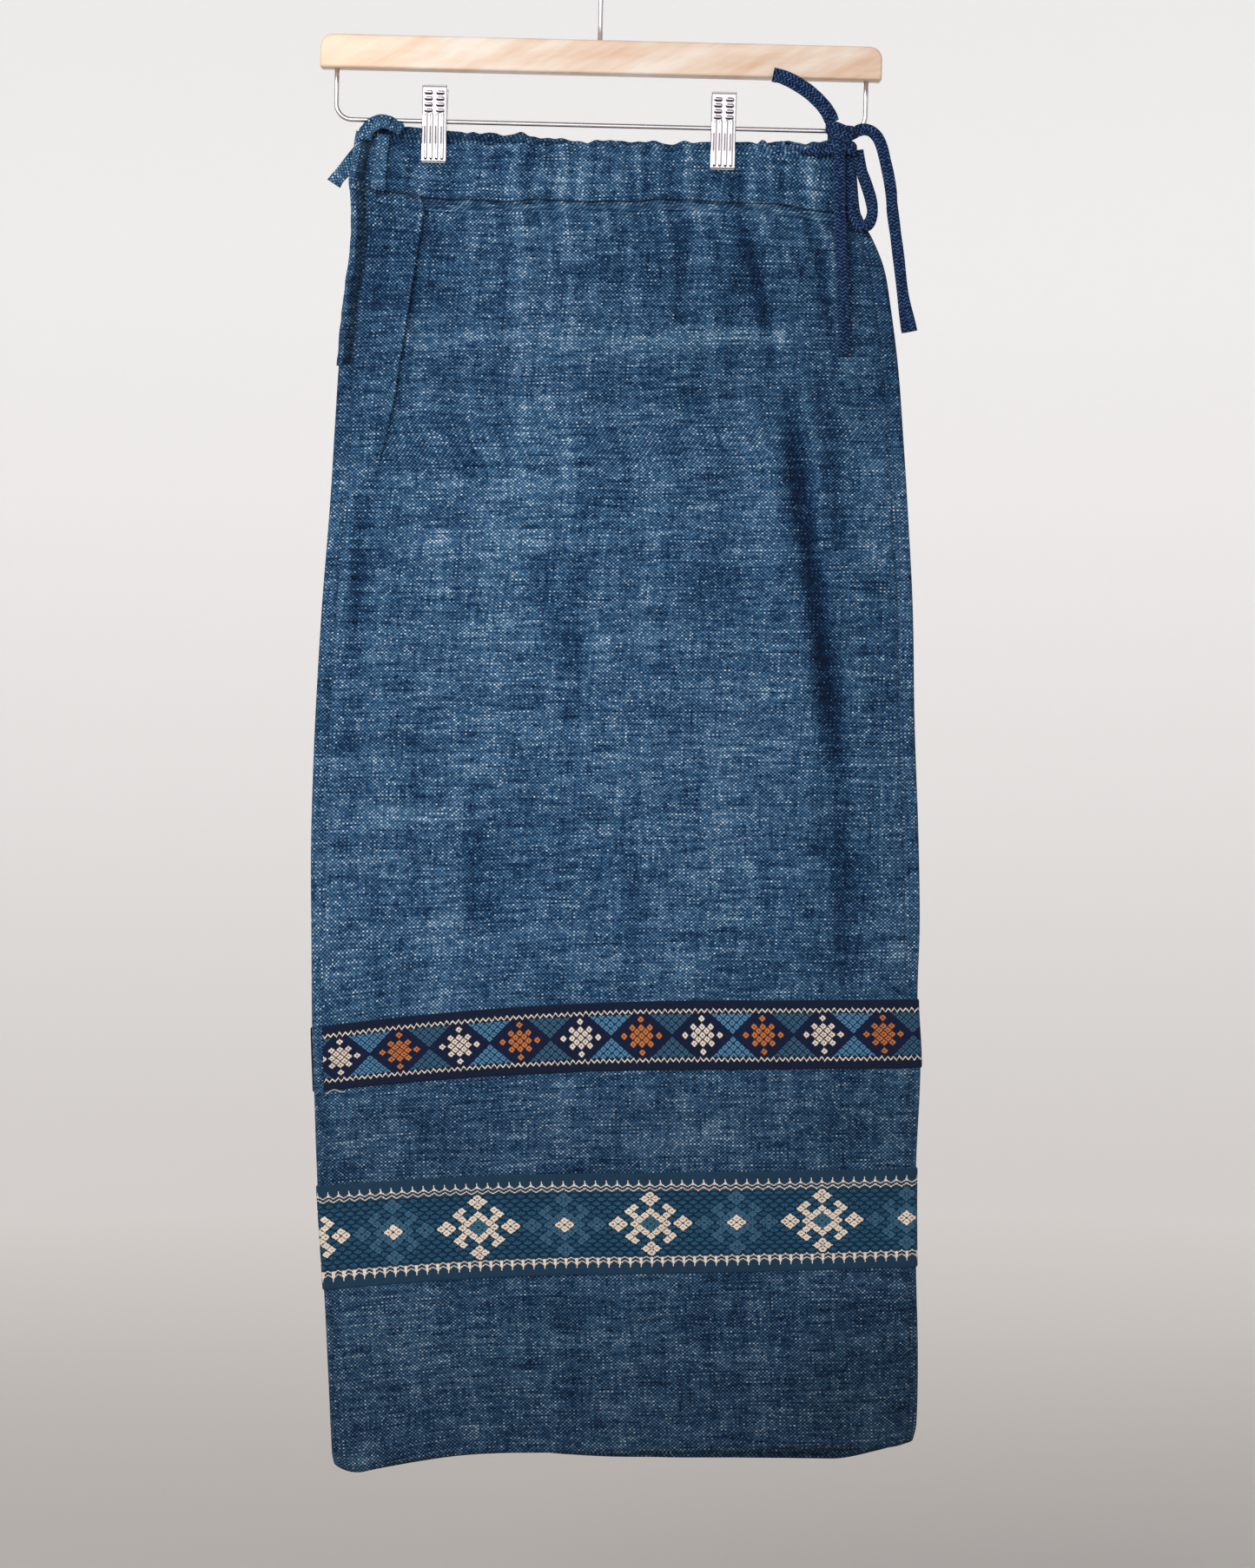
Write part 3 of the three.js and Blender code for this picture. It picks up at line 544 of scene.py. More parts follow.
@dataclass(frozen=True)
class StudioPaper(Finish):
    """Matt backdrop paper."""

    floor: float = -1.32
    radius: float = 4.6
    wall: float = 3.4

    def build(self) -> bpy.types.Material:
        """Grade the paper from a grey floor to a paler wall, with a painted glow that stands for the lamps' light on
        it.

        Returns:
            The material.
        """
        material, w, shader = self.start()
        spot = node(w.tree, "ShaderNodeTexCoord").outputs["Object"]
        where = node(w.tree, "ShaderNodeSeparateXYZ", {0: spot}).outputs
        height = w.math("DIVIDE", w.math("SUBTRACT", where[2], self.floor), self.wall)
        colour = w.ramp(height, ((0.0, "c4beba"), (0.2, "dedbd9"), (0.5, "ebebea")))
        w.tree.links.new(colour, shader.inputs["Base Color"])
        # Painted light: the glow grows from the middle of the floor out towards the wall and up it.
        round_floor = w.place(where[0], where[1], 0)
        reach = node(w.tree, "ShaderNodeVectorMath", {0: round_floor}, operation="LENGTH").outputs["Value"]
        way = w.math("ADD", w.math("MULTIPLY", reach, 0.6 / self.radius), w.math("MULTIPLY", height, 0.4))
        painted_glow = w.ramp(way, ((0.05, "4b4a49"), (0.26, "787673"), (0.43, "9f9c9b"), (0.68, "a9a8a8"), (0.82, "b0b0b1")))
        # Painted light: the glow is brighter on the half behind the skirt than on the half behind the camera.
        share = node(w.tree, "ShaderNodeMapRange", {0: where[1], 1: -2.0, 2: 2.0, 3: 0.3, 4: 1.0}).outputs[0]
        painted_glow = w.mix(1.0, painted_glow, w.place(share, share, share), "MULTIPLY")
        w.tree.links.new(painted_glow, shader.inputs["Emission Color"])
        shader.inputs["Emission Strength"].default_value = 1.0
        return material


COTTON = HandspunCotton("handspun indigo cotton", "indigo_cotton", 0.95, sheen=0.05, specular=0.12)
UPPER_BROCADE = Brocade("woven star brocade", "upper_brocade", 0.85, sheen=0.04, specular=0.15)
LOWER_BROCADE = Brocade("woven cross brocade", "lower_brocade", 0.88, sheen=0.04, specular=0.15)
BRAID = Braid("navy cotton braid", "navy_braid", 0.95, sheen=0.05, specular=0.12)
THREAD = SewingThread("navy sewing thread", "indigo_cotton", 0.85, specular=0.3)
PALE_THREAD = SewingThread("undyed sewing thread", "indigo_cotton", 0.85, specular=0.3, colour="e9e6e0")
MAPLE = PaleMaple("lacquered maple", "pale_wood", 0.42, coat=0.35)
PLATE = BrightPlate("bright nickel plate", "bright_steel", 0.22, metallic=1.0)
PAPER = StudioPaper("backdrop paper", "", 0.95, specular=0.1)


# Tree helpers


def new_tree(name: str, inputs: dict[str, str]) -> tuple:
    """Start a Geometry Nodes tree that has geometry going in and out.

    Args:
        name: Name of the tree.
        inputs: Kind of each further input, by name.

    Returns:
        The tree, and what its inputs give.
    """
    tree = bpy.data.node_groups.new(name, "GeometryNodeTree")
    for label, kind in {"Geometry": "Geometry", **inputs}.items():
        tree.interface.new_socket(label, in_out="INPUT", socket_type=f"NodeSocket{kind}")
    tree.interface.new_socket("Geometry", in_out="OUTPUT", socket_type="NodeSocketGeometry")
    return tree, node(tree, "NodeGroupInput").outputs


def close_tree(tree: bpy.types.NodeTree, geometry: bpy.types.NodeSocket, finish: bpy.types.NodeSocket) -> None:
    """Make a tree's instances real, dress them and put them out.

    Args:
        tree: The tree.
        geometry: What it has made.
        finish: Material of the result.
    """
    real = node(tree, "GeometryNodeRealizeInstances", {"Geometry": geometry})
    dressed = node(tree, "GeometryNodeSetMaterial", {"Geometry": real.outputs[0], "Material": finish})
    node(tree, "NodeGroupOutput", {0: dressed.outputs[0]})


# Mesh helpers


@dataclass
class Shell:
    """A mesh under way: its corners in millimetres, faces and what the finish reads."""

    points: Points
    faces: Faces
    uv: Points | None = None
    values: dict[str, Points] = field(default_factory=dict)
    colours: dict[str, Points] = field(default_factory=dict)


def add_piece(name: str, shell: Shell, finish: Finish, replaces: Sequence[str] = ()) -> bpy.types.Object:
    """Make an object of the scene from a shell, and let it ride on the part's body.

    Args:
        name: Piece name.
        shell: Its mesh, in millimetres.
        finish: Its surface.
        replaces: Nodes of the part that it stands for.

    Returns:
        The new object.
    """
    mesh = bpy.data.meshes.new(name)
    mesh.from_pydata((np.asarray(shell.points) * MM).tolist(), [], shell.faces)
    corners = np.zeros(len(mesh.loops), np.int32)
    mesh.loops.foreach_get("vertex_index", corners)
    if shell.uv is not None:
        layer = mesh.uv_layers.new(name="cloth")
        layer.data.foreach_set("uv", (shell.uv[corners] * MM).astype(np.float32).ravel())
    for label, values in shell.values.items():
        domain = "POINT" if len(values) == len(shell.points) else "FACE"
        mesh.attributes.new(label, "FLOAT", domain).data.foreach_set("value", values.astype(np.float32))
    for label, values in shell.colours.items():
        data = mesh.attributes.new(label, "FLOAT_COLOR", "FACE").data
        data.foreach_set("color", values.astype(np.float32).ravel())
    mesh.polygons.foreach_set("use_smooth", np.ones(len(mesh.polygons), bool))
    mesh.materials.append(finish.material)
    mesh.update()
    piece = bpy.data.objects.new(name, mesh)
    bpy.context.collection.objects.link(piece)
    return settle(piece, replaces)


def settle(piece: bpy.types.Object, replaces: Sequence[str] = ()) -> bpy.types.Object:
    """Attach a finished object to the part's body, and hide the nodes that it stands for.

    Args:
        piece: The object, in place.
        replaces: Nodes of the part that it stands for.

    Returns:
        The same object.
    """
    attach(piece, BODY)
    if replaces:
        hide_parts(*replaces)
    LOG.info("%s: %d faces", piece.name, len(piece.data.polygons))
    return piece


def grid_faces(rows: int, columns: int, start: int = 0, flip: bool = False) -> Faces:
    """List the four-sided faces of a grid of points.

    Args:
        rows: Number of rows.
        columns: Number of columns.
        start: Number of the first point.
        flip: Turn the faces round.

    Returns:
        The faces.
    """
    r, c = np.meshgrid(np.arange(rows - 1), np.arange(columns - 1), indexing="ij")
    a = (start + r * columns + c).ravel()
    quads = np.stack([a, a + columns, a + columns + 1, a + 1], 1)
    return [tuple(q) for q in (quads[:, ::-1] if flip else quads).tolist()]


def closed_shell(outer: Points, inner: Points, uv: Points) -> Shell:
    """Join two matching grids of points into one closed shell.

    Args:
        outer: Outer points by row, top first, and column, from left to right.
        inner: Inner points, the same.
        uv: Places on the cloth, in millimetres, the same.

    Returns:
        The shell.
    """
    rows, columns = outer.shape[:2]
    points = np.concatenate([outer.reshape(-1, 3), inner.reshape(-1, 3)])
    count = rows * columns
    faces = grid_faces(rows, columns) + grid_faces(rows, columns, count, True)
    edge = list(range(columns)) + [r * columns + columns - 1 for r in range(1, rows)]
    edge += list(range(count - 2, count - columns - 1, -1))
    edge += [r * columns for r in range(rows - 2, 0, -1)]
    for a, b in zip(edge, edge[1:] + edge[:1]):
        faces.append((a, b, b + count, a + count))
    both = np.concatenate([uv.reshape(-1, 2)] * 2)
    return Shell(points, faces, both)


def row_lengths(points: Points) -> Points:
    """Measure the way along each row of a grid of points.

    Args:
        points: Points by row and column.

    Returns:
        Distance from the row's first point, by row and column.
    """
    steps = np.linalg.norm(np.diff(points, axis=1), axis=2)
    return np.concatenate([np.zeros((len(points), 1)), np.cumsum(steps, 1)], 1)


# The cloth's form


@dataclass(frozen=True)
class TubeForm:
    """The flattened tube that every piece of cloth lies on. Lengths are in millimetres."""

    edge_round: float = 3.5
    flatness: float = 2.6
    seam_z: float = -198.8
    front_waist: float = -160.4
    back_waist: float = -158.0
    hem: float = -1059.5
    placket_end: float = -313.0
    back_rise: float = 7.0
    back_drop: float = 10.5
    clip_grip: float = 2.1
    clip_centres: tuple[float, ...] = (-116.4, 83.0)
    fold_run: float = 6.0
    fold_under: float = 15.0
    fold_rise: float = 4.2
    fold_reach: float = 26.0

    def section(self, z: Points) -> dict[str, Points]:
        """Read a smooth curve through the section rows.

        Args:
            z: Heights.

        Returns:
            A value for each column name.
        """
        rows = SECTIONS
        last = len(rows) - 1
        i = np.clip(np.searchsorted(-rows[:, 0], -np.asarray(z, float), side="right") - 1, 0, last - 1)
        a, b = rows[i], rows[i + 1]
        before, after = rows[np.maximum(i - 1, 0)], rows[np.minimum(i + 2, last)]
        span = (b[..., :1] - a[..., :1])
        t = (np.asarray(z, float)[..., None] - a[..., :1]) / span
        slope_a = (b - before) / (b[..., :1] - before[..., :1]) * span
        slope_b = (after - a) / (after[..., :1] - a[..., :1]) * span
        values = (a * (1 + 2 * t) * (1 - t) ** 2 + slope_a * t * (1 - t) ** 2
                  + b * t * t * (3 - 2 * t) + slope_b * t * t * (t - 1))
        return {name: values[..., k] for k, name in enumerate(SECTION_COLUMNS)} | {"z": z}

    @staticmethod
    def line(share: Points, top: float, middle: float, bottom: float) -> Points:
        """Return a parabola through three places that are evenly spaced in height."""
        curved = 2 * (top - 2 * middle + bottom)
        return top + (bottom - top - curved / 2) * share + (curved / 2) * share * share

    def fold_line(self, z: Points) -> Points:
        """Return where the lapped fold lies at a height."""
        return self.line(np.clip((-196 - z) / 199, 0, 1), -125, -142.5, -156.5)

    def fold(self, x: Points, z: Points) -> tuple[Points, Points]:
        """Lay the left layer of the lapped fold over the right one.

        Args:
            x: Places across.
            z: Heights.

        Returns:
            How far the cloth stands out, and how far it moves sideways.
        """
        strength = smooth(z, -197, -208) * (1 - smooth(z, -330, -418))
        offset = x - self.fold_line(z)
        turn = smooth(offset, -self.fold_run / 2, self.fold_run / 2)
        near = 1 - smooth(np.abs(offset), self.fold_run / 2, self.fold_reach)
        return (strength * self.fold_rise * (1 - turn) * near,
                strength * self.fold_under * (0.5 - turn) * near)

    def creases(self, table: Sequence[tuple], x: Points, z: Points) -> Points:
        """Add up the long creases of one side.

        Args:
            table: Rows of top, bottom, three places across, width and rise.
            x: Distance across.
            z: Height.

        Returns:
            How far the cloth stands out.
        """
        total = np.zeros(np.broadcast(x, z).shape)
        for top, bottom, x_top, x_middle, x_bottom, width, rise in table:
            share = (top - z) / (top - bottom)
            line = self.line(share, x_top, x_middle, x_bottom)
            end = 1.0 if bottom <= self.hem else smooth(share, 1, 0.7)
            inside = (share > 0) & (share < 1.0001)
            total += inside * rise * smooth(share, 0, 0.3) * end * np.exp(-(((x - line) / width) ** 2))
        return total

    def gathers(self, table: Sequence[tuple], share: Points, width: Points, z: Points) -> Points:
        """Add up the gathers of one side.

        Args:
            table: Rows of share across, rise, width and length.
            share: Share of the way across.
            width: Width of the tube.
            z: Height.

        Returns:
            How far the cloth stands out.
        """
        total = np.zeros(np.broadcast(share, z).shape)
        for at, rise, wide, run in table:
            below = np.clip((self.seam_z - z) / run, 0, 1)
            total += rise * (1 - below) ** 1.5 * np.exp(-(((share - at) * width / wide) ** 2))
        return total

    def grip(self, x: Points, z: Points) -> Points:
        """Return how firmly the clips press the waist together."""
        nearest = np.min([np.abs(x - centre) for centre in self.clip_centres], axis=0)
        return (1 - smooth(nearest, 11, 28)) * (1 - smooth(z, -182, -226))

    def dip(self, section: dict[str, Points], share: Points, back: Points) -> Points:
        """Return how far a row hangs below its middle height.

        Args:
            section: The level section's sizes.
            share: Share of the way across.
            back: 0 on the front, 1 on the back.

        Returns:
            The drop.
        """
        z = section["z"]
        wave = 0.8 * soft_noise(share * 350, share * 0, 34, 61) * np.exp(-(((z - self.seam_z) / 12) ** 2))
        front = (wave + section["droop"] * square_from(1 - share / section["reach"])
                 + section["tilt"] * (1 - share)
                 + section["sag"] * square_from((share - 0.65) / 0.35)
                 - section["lift"] * (square_from(1 - share / 0.055) + 0.4 * square_from(1 - (1 - share) / 0.055)))
        near_waist = smooth(z, self.seam_z, self.back_waist)
        near_hem = smooth(z, -990, self.hem)
        rise = self.back_rise * square_from(1 - share / 0.7) * near_waist
        drop = self.back_drop * smooth(share, 0.15, 0.5) * (1 - smooth(share, 0.86, 1)) * near_hem
        return front + back * (drop - rise)

    def small_folds(self, side: str, x: Points, z: Points) -> Points:
        """Return the slight unevenness of hanging handwoven cloth.

        Args:
            side: Front or back.
            x: Distance across.
            z: Height.

        Returns:
            How far the cloth stands out.
        """
        seed = 3 if side == "front" else 11
        calm = 0.35 + 0.65 * smooth(z, -300, -190)
        slow = soft_noise(x, z * 0.45, 62, seed) * 0.5
        fine = soft_noise(x, z * 0.3, 15, seed + 1) * 0.22 * calm
        return slow + fine + soft_noise(x, z * 0.16, 9, seed + 2) * 0.3 * smooth(z, -250, -196)

    def points(self, place: Points, z: Points) -> Points:
        """Find points on the cloth's outer face.

        Args:
            place: 0 to 1 across the front from the left, 1 to 2 round the right edge, 2 to 3
                back across, 3 to 4 round the left edge.
            z: Heights at the row's middle.

        Returns:
            The points, in the last axis.
        """
        place, z = np.broadcast_arrays(np.asarray(place, float), np.asarray(z, float))
        section = self.section(z)
        around = np.mod(place, 4)
        quarter = np.floor(around)
        along = around - quarter
        flat = section["right"] - section["left"] - 2 * self.edge_round
        share = np.where(quarter == 2, 1 - along, along)
        x = section["left"] + self.edge_round + share * flat
        bulge = (section["depth"] - self.edge_round) * (1 - np.abs(2 * share - 1) ** self.flatness)
        grip = self.grip(x, z)
        inner = smooth(np.minimum(share, 1 - share), 0, 0.06)
        reliefs = [
            self.creases(table, x, z) + self.small_folds(side, x, z)
            + self.gathers(drawn, share, flat, z) * (1 - grip)
            for side, table, drawn in (
                ("front", FRONT_CREASES, FRONT_GATHERS), ("back", BACK_CREASES, BACK_GATHERS))
        ]
        is_back = quarter == 2
        rise, shift = self.fold(x, z)
        rise, shift = np.where(is_back, 0, rise), np.where(is_back, 0, shift)
        pressed = self.edge_round + bulge + (self.clip_grip - self.edge_round - bulge) * grip
        depth = pressed + np.where(is_back, reliefs[1], reliefs[0]) * inner * (1 - 0.8 * grip) + rise
        flat_y = np.where(is_back, depth, -depth)
        angle = along * math.pi
        turn = np.where(quarter == 1, 1, -1)
        centre = np.where(quarter == 1, section["right"] - self.edge_round, section["left"] + self.edge_round)
        rounded = (quarter == 1) | (quarter == 3)
        x = np.where(rounded, centre + turn * self.edge_round * np.sin(angle), x + shift)
        y = np.where(rounded, -turn * self.edge_round * np.cos(angle), flat_y)
        back = np.where(quarter == 1, along, np.where(quarter == 3, 1 - along, is_back * 1.0))
        spread = np.clip((x - section["left"]) / (section["right"] - section["left"]), 0, 1)
        return np.stack([x, y, z - self.dip(section, spread, back)], -1)

    def normals(self, place: Points, z: Points) -> Points:
        """Return the cloth's outward directions, by small differences.

        Args:
            place: Places round the tube, as for points.
            z: Heights.

        Returns:
            Directions of length 1.
        """
        across = self.points(place + 0.0008, z) - self.points(place - 0.0008, z)
        up = self.points(place, z + 0.3) - self.points(place, z - 0.3)
        normal = np.cross(across, up)
        return normal / np.linalg.norm(normal, axis=-1, keepdims=True)

    def lifted(self, place: Points, z: Points, above: Points | float) -> Points:
        """Return points at a distance above the cloth's outer face.

        Args:
            place: Places round the tube, as for points.
            z: Heights.
            above: Distance from the cloth.

        Returns:
            The points.
        """
        place, z = np.broadcast_arrays(np.asarray(place, float), np.asarray(z, float))
        above = np.broadcast_to(np.asarray(above, float), place.shape)
        return self.points(place, z) + self.normals(place, z) * above[..., None]

    def seam_places(self, z: Points) -> tuple[Points, Points]:
        """Return the places of the left and right side seams on the front.

        Args:
            z: Heights.

        Returns:
            The left and the right places.
        """
        section = self.section(z)
        flat = section["right"] - section["left"] - 2 * self.edge_round
        left = (section["seam"] - self.edge_round) / flat
        return left, 1 - left

    def place_of(self, x: Points, z: Points) -> Points:
        """Return the place on the front that lies at a distance across.

        Args:
            x: Distance across.
            z: Heights.

        Returns:
            The places.
        """
        section = self.section(z)
        flat = section["right"] - section["left"] - 2 * self.edge_round
        return (x - section["left"] - self.edge_round) / flat


TUBE = TubeForm()


def cloth_tone(points: Points, nominal: Points, share: Points | None = None,
               back: bool = False) -> dict[str, Points]:
    """Return the dye, which also holds painted light and shade, and the painted shading that the cotton's finish reads.

    Args:
        points: Points of the cloth.
        nominal: Their heights before the rows dip.
        share: Their share of the way across, where gathers and creases show.
        back: Whether they lie on the back.

    Returns:
        Values by name, a row of numbers each.
    """
    x = points[..., 0]
    dye_and_painted_light = 0.035 * soft_noise(x * 0.35, nominal * 2.2, 46, 21) + 0.03 * soft_noise(x * 2, nominal * 0.2, 60, 22)
    for at, half, left, right, strength in DYE_STRIPES:
        wave = nominal + 1.6 * soft_noise(x, nominal * 0, 90, int(-at))
        ends = smooth(x, left - 25, left + 25) * (1 - smooth(x, right - 25, right + 25))
        dye_and_painted_light = dye_and_painted_light + 0.5 * strength * np.exp(-(((wave - at) / half) ** 2)) * ends
    if share is not None:
        # Partly rubbed wear and partly painted light and shade: the ridges of the gathers are paler and the cloth
        # between them darker, and the troughs of the creases are darker.
        drawn = BACK_GATHERS if back else FRONT_GATHERS
        longer = tuple((at, rise, wide * 0.8, run * 2.4) for at, rise, wide, run in drawn)
        drawn_in = TUBE.gathers(longer, share, 365, np.minimum(nominal, TUBE.seam_z))
        dye_and_painted_light = dye_and_painted_light + 0.09 * (drawn_in - 0.9 * smooth(nominal, -420, -220))
        sunk = np.minimum(TUBE.creases(BACK_CREASES if back else FRONT_CREASES, x, nominal), 0)
        dye_and_painted_light = dye_and_painted_light + 0.08 * sunk
    # Painted shading: the cloth is lightest at middle height and left of the middle, a little darker at the top, and
    # much darker towards the bottom and the right, where less light falls.
    painted_shading = 1.16 - 0.14 * smooth(nominal, -430, -300) - 0.36 * smooth(nominal, -700, -850)
    painted_shading = painted_shading - (0.2 + 0.08 * smooth(x, 60, 190)) * smooth(nominal, -900, -1040)
    painted_shading = painted_shading * (1 + 0.06 * np.exp(-(((x + 60) / 80) ** 2)) - 0.08 * smooth(x, 120, 170))
    return {"dye_and_painted_light": dye_and_painted_light.ravel(), "painted_shading": painted_shading.ravel()}


class Side(Enum):
    """The two faces of the tube."""

    FRONT = "front"
    BACK = "back"


@dataclass
class SkirtCloth:
    """The two skirt panels and the two halves of the casing."""

    wall: float = 0.9
    casing_wall: float = 1.7
    step: float = 3.0
    row_step: float = 4.6
    fine_step: float = 1.3
    hem_turn: float = 14.0
    pieces: dict[str, bpy.types.Object] = field(default_factory=dict)

    def places(self, side: Side, z: Points, step: float) -> Points:
        """Spread the columns of a panel between its side seams.

        Args:
            side: Face of the tube.
            z: Heights of the rows, in a column.
            step: Distance between the columns.

        Returns:
            Places by row and column.
        """
        left, right = TUBE.seam_places(z)
        if side is Side.BACK:
            edge = np.concatenate([np.linspace(0, 1, 4)[:-1], np.linspace(1, 2, 9)[:-1]])
            middle = np.linspace(2, 3, int(400 / step))[:-1]
            turn = np.linspace(3, 4, 9)[:-1]
            start = right + (1 - right) * edge[:3]
            end = 4 + left * np.linspace(0, 1, 4)
            fixed = np.concatenate([edge[3:], middle, turn])
            return np.concatenate([start, np.broadcast_to(fixed, (len(z), len(fixed))), end], 1)
        fold = TUBE.place_of(TUBE.fold_line(z), z)
        half = 5.0 / 360
        parts = [
            (left, fold - half, max(4, int(42 / step))),
            (fold - half, fold + half, 14),
            (fold + half, right, int(310 / step)),
        ]
        columns = [a + (b - a) * np.arange(n) / n for a, b, n in parts]
        return np.concatenate(columns + [right], 1)

    @staticmethod
    def share(side: Side, place: Points) -> Points:
        """Return the share of the way across, from the left, of places round the tube."""
        return np.clip(3 - place if side is Side.BACK else place, 0, 1)

    def panel(self, side: Side) -> bpy.types.Object:
        """Make one skirt panel, turned up double at the hem.

        Args:
            side: Face of the tube.

        Returns:
            The panel.
        """
        rows = int((TUBE.seam_z - TUBE.hem) / self.row_step)
        z = np.linspace(TUBE.seam_z, TUBE.hem, rows)[:, None]
        place = self.places(side, z, self.step)
        tuck = 0.8 * (1 - smooth(TUBE.seam_z - z, 0, 4))
        outer = TUBE.lifted(place, z, -0.1 - tuck)
        thick = self.wall + 0.7 * smooth(z, TUBE.hem + self.hem_turn + 1, TUBE.hem + self.hem_turn)
        inner = TUBE.lifted(place, z, -0.1 - tuck - thick)
        uv = np.stack([row_lengths(outer), np.broadcast_to(z, place.shape)], -1)
        shell = closed_shell(outer, inner, uv)
        nominal = np.broadcast_to(z, place.shape)
        tone = cloth_tone(outer, nominal, self.share(side, place), side is Side.BACK)
        # Painted shadow: the panel is darkened over the last few millimetres below the casing's lower edge.
        tone["painted_shading"] = tone["painted_shading"] * (1 - 0.4 * smooth(nominal, TUBE.seam_z - 4, TUBE.seam_z)).ravel()
        shell.values = {k: np.concatenate([v, v]) for k, v in tone.items()}
        piece = add_piece(f"{side.value}_panel", shell, COTTON, [f"skirt_{side.value}"])
        self.pieces[piece.name] = piece
        return piece

    def casing(self, side: Side) -> bpy.types.Object:
        """Make one half of the casing: cloth turned over at the waist and stitched down.

        Args:
            side: Face of the tube.

        Returns:
            The casing.
        """
        top = TUBE.front_waist if side is Side.FRONT else TUBE.back_waist
        half = self.casing_wall / 2
        down = np.linspace(top - half, TUBE.seam_z - 0.6, 30)
        arc = np.linspace(math.pi / 2, -math.pi / 2, 7)
        rim = top - half + half * np.cos(arc)
        heights = np.concatenate([down[::-1], rim[1:-1], down])[:, None]
        above = np.concatenate([np.zeros(30), -half + half * np.sin(arc[1:-1]), np.full(30, -2 * half)])[:, None]
        foot = 0.8 * (1 - smooth(heights, TUBE.seam_z, TUBE.seam_z + 3))
        above = above + np.where(above == 0, foot, 0)
        z = heights
        place = self.places(side, z, self.fine_step)
        # The drawn-up top edge waves between the gathers.
        x = TUBE.points(place, z)[..., 0]
        seed = 31 if side is Side.FRONT else 37
        wave = 0.9 * soft_noise(x, x * 0, 17, seed) + 0.6 * soft_noise(x, x * 0, 7, seed + 1)
        if side is Side.FRONT:
            wave = wave + 2.6 * np.exp(-(((x - 119) / 10) ** 2)) * np.sin(x / 1.9)
        wave = wave * (1 - TUBE.grip(x, z))
        if side is Side.BACK:
            wave = wave + 3.4 * (1 - smooth(x, -62, -6)) * smooth(x, -166, -150)
        wave = wave * smooth(z, top - 14, top)
        grid = TUBE.lifted(place, z, above)
        grid[..., 2] += wave
        uv_v = np.concatenate([down[::-1], rim[1:-1], 2 * top - down])[:, None]
        uv = np.stack([row_lengths(grid), np.broadcast_to(uv_v, place.shape)], -1)
        rows, columns = place.shape
        faces = grid_faces(rows, columns, 0, True)
        first, last = np.arange(columns), (rows - 1) * columns + np.arange(columns)
        for c in range(columns - 1):
            faces.append((int(first[c]), int(last[c]), int(last[c + 1]), int(first[c + 1])))
        for c in (0, columns - 1):
            ring = [r * columns + c for r in range(rows)]
            for i in range(rows // 2):
                a, b, e, d = ring[i], ring[i + 1], ring[rows - 2 - i], ring[rows - 1 - i]
                quad = (a, b, e, d) if b != e else (a, b, d)
                faces.append(quad if c == 0 else quad[::-1])
        values = cloth_tone(grid, np.broadcast_to(z, place.shape), self.share(side, place), side is Side.BACK)
        # Painted shading: the inside of the waist is darkened as shade, and the outside is lightened a little.
        inside = np.broadcast_to(above < -half * 1.4, place.shape).ravel()
        values["painted_shading"] = values["painted_shading"] * np.where(inside, 0.7, 1.04)
        shell = Shell(grid.reshape(-1, 3), faces, uv.reshape(-1, 2), values)
        piece = add_piece(f"{side.value}_casing", shell, COTTON, [f"casing_{side.value}"])
        self.pieces[piece.name] = piece
        return piece

    def build(self) -> None:
        """Make the panels and casings."""
        for side in Side:
            panel, casing = self.panel(side), self.casing(side)


# Brocade bands


class Yarn(Enum):
    """The yarns of the two brocades, by sRGB colour and how far their floats stand up."""

    BORDER = ("131e36", 0.0)
    NAVY = ("111d3b", 0.0)
    CREAM = ("efe3d4", 1.0)
    CREAM_EYE = ("a57f66", 0.4)
    RUST = ("cd7b3d", 1.0)
    RUST_EYE = ("753f22", 0.4)
    BLUE = ("548bb0", 0.7)
    BLUE_EYE = ("1e4172", 0.2)
    SLATE = ("3a647f", 0.7)
    SLATE_EYE = ("1f3a56", 0.2)
    TEAL_BORDER = ("1f3c54", 0.0)
    TEAL = ("10324a", 0.1)
    TEAL_LEAF = ("2d5f80", 0.6)
    TEAL_LINE = ("0c2338", 0.0)
    GHOST = ("476f8b", 0.7)
    GHOST_EYE = ("235271", 0.3)
    LAKE = ("477990", 0.7)


YARNS = list(Yarn)


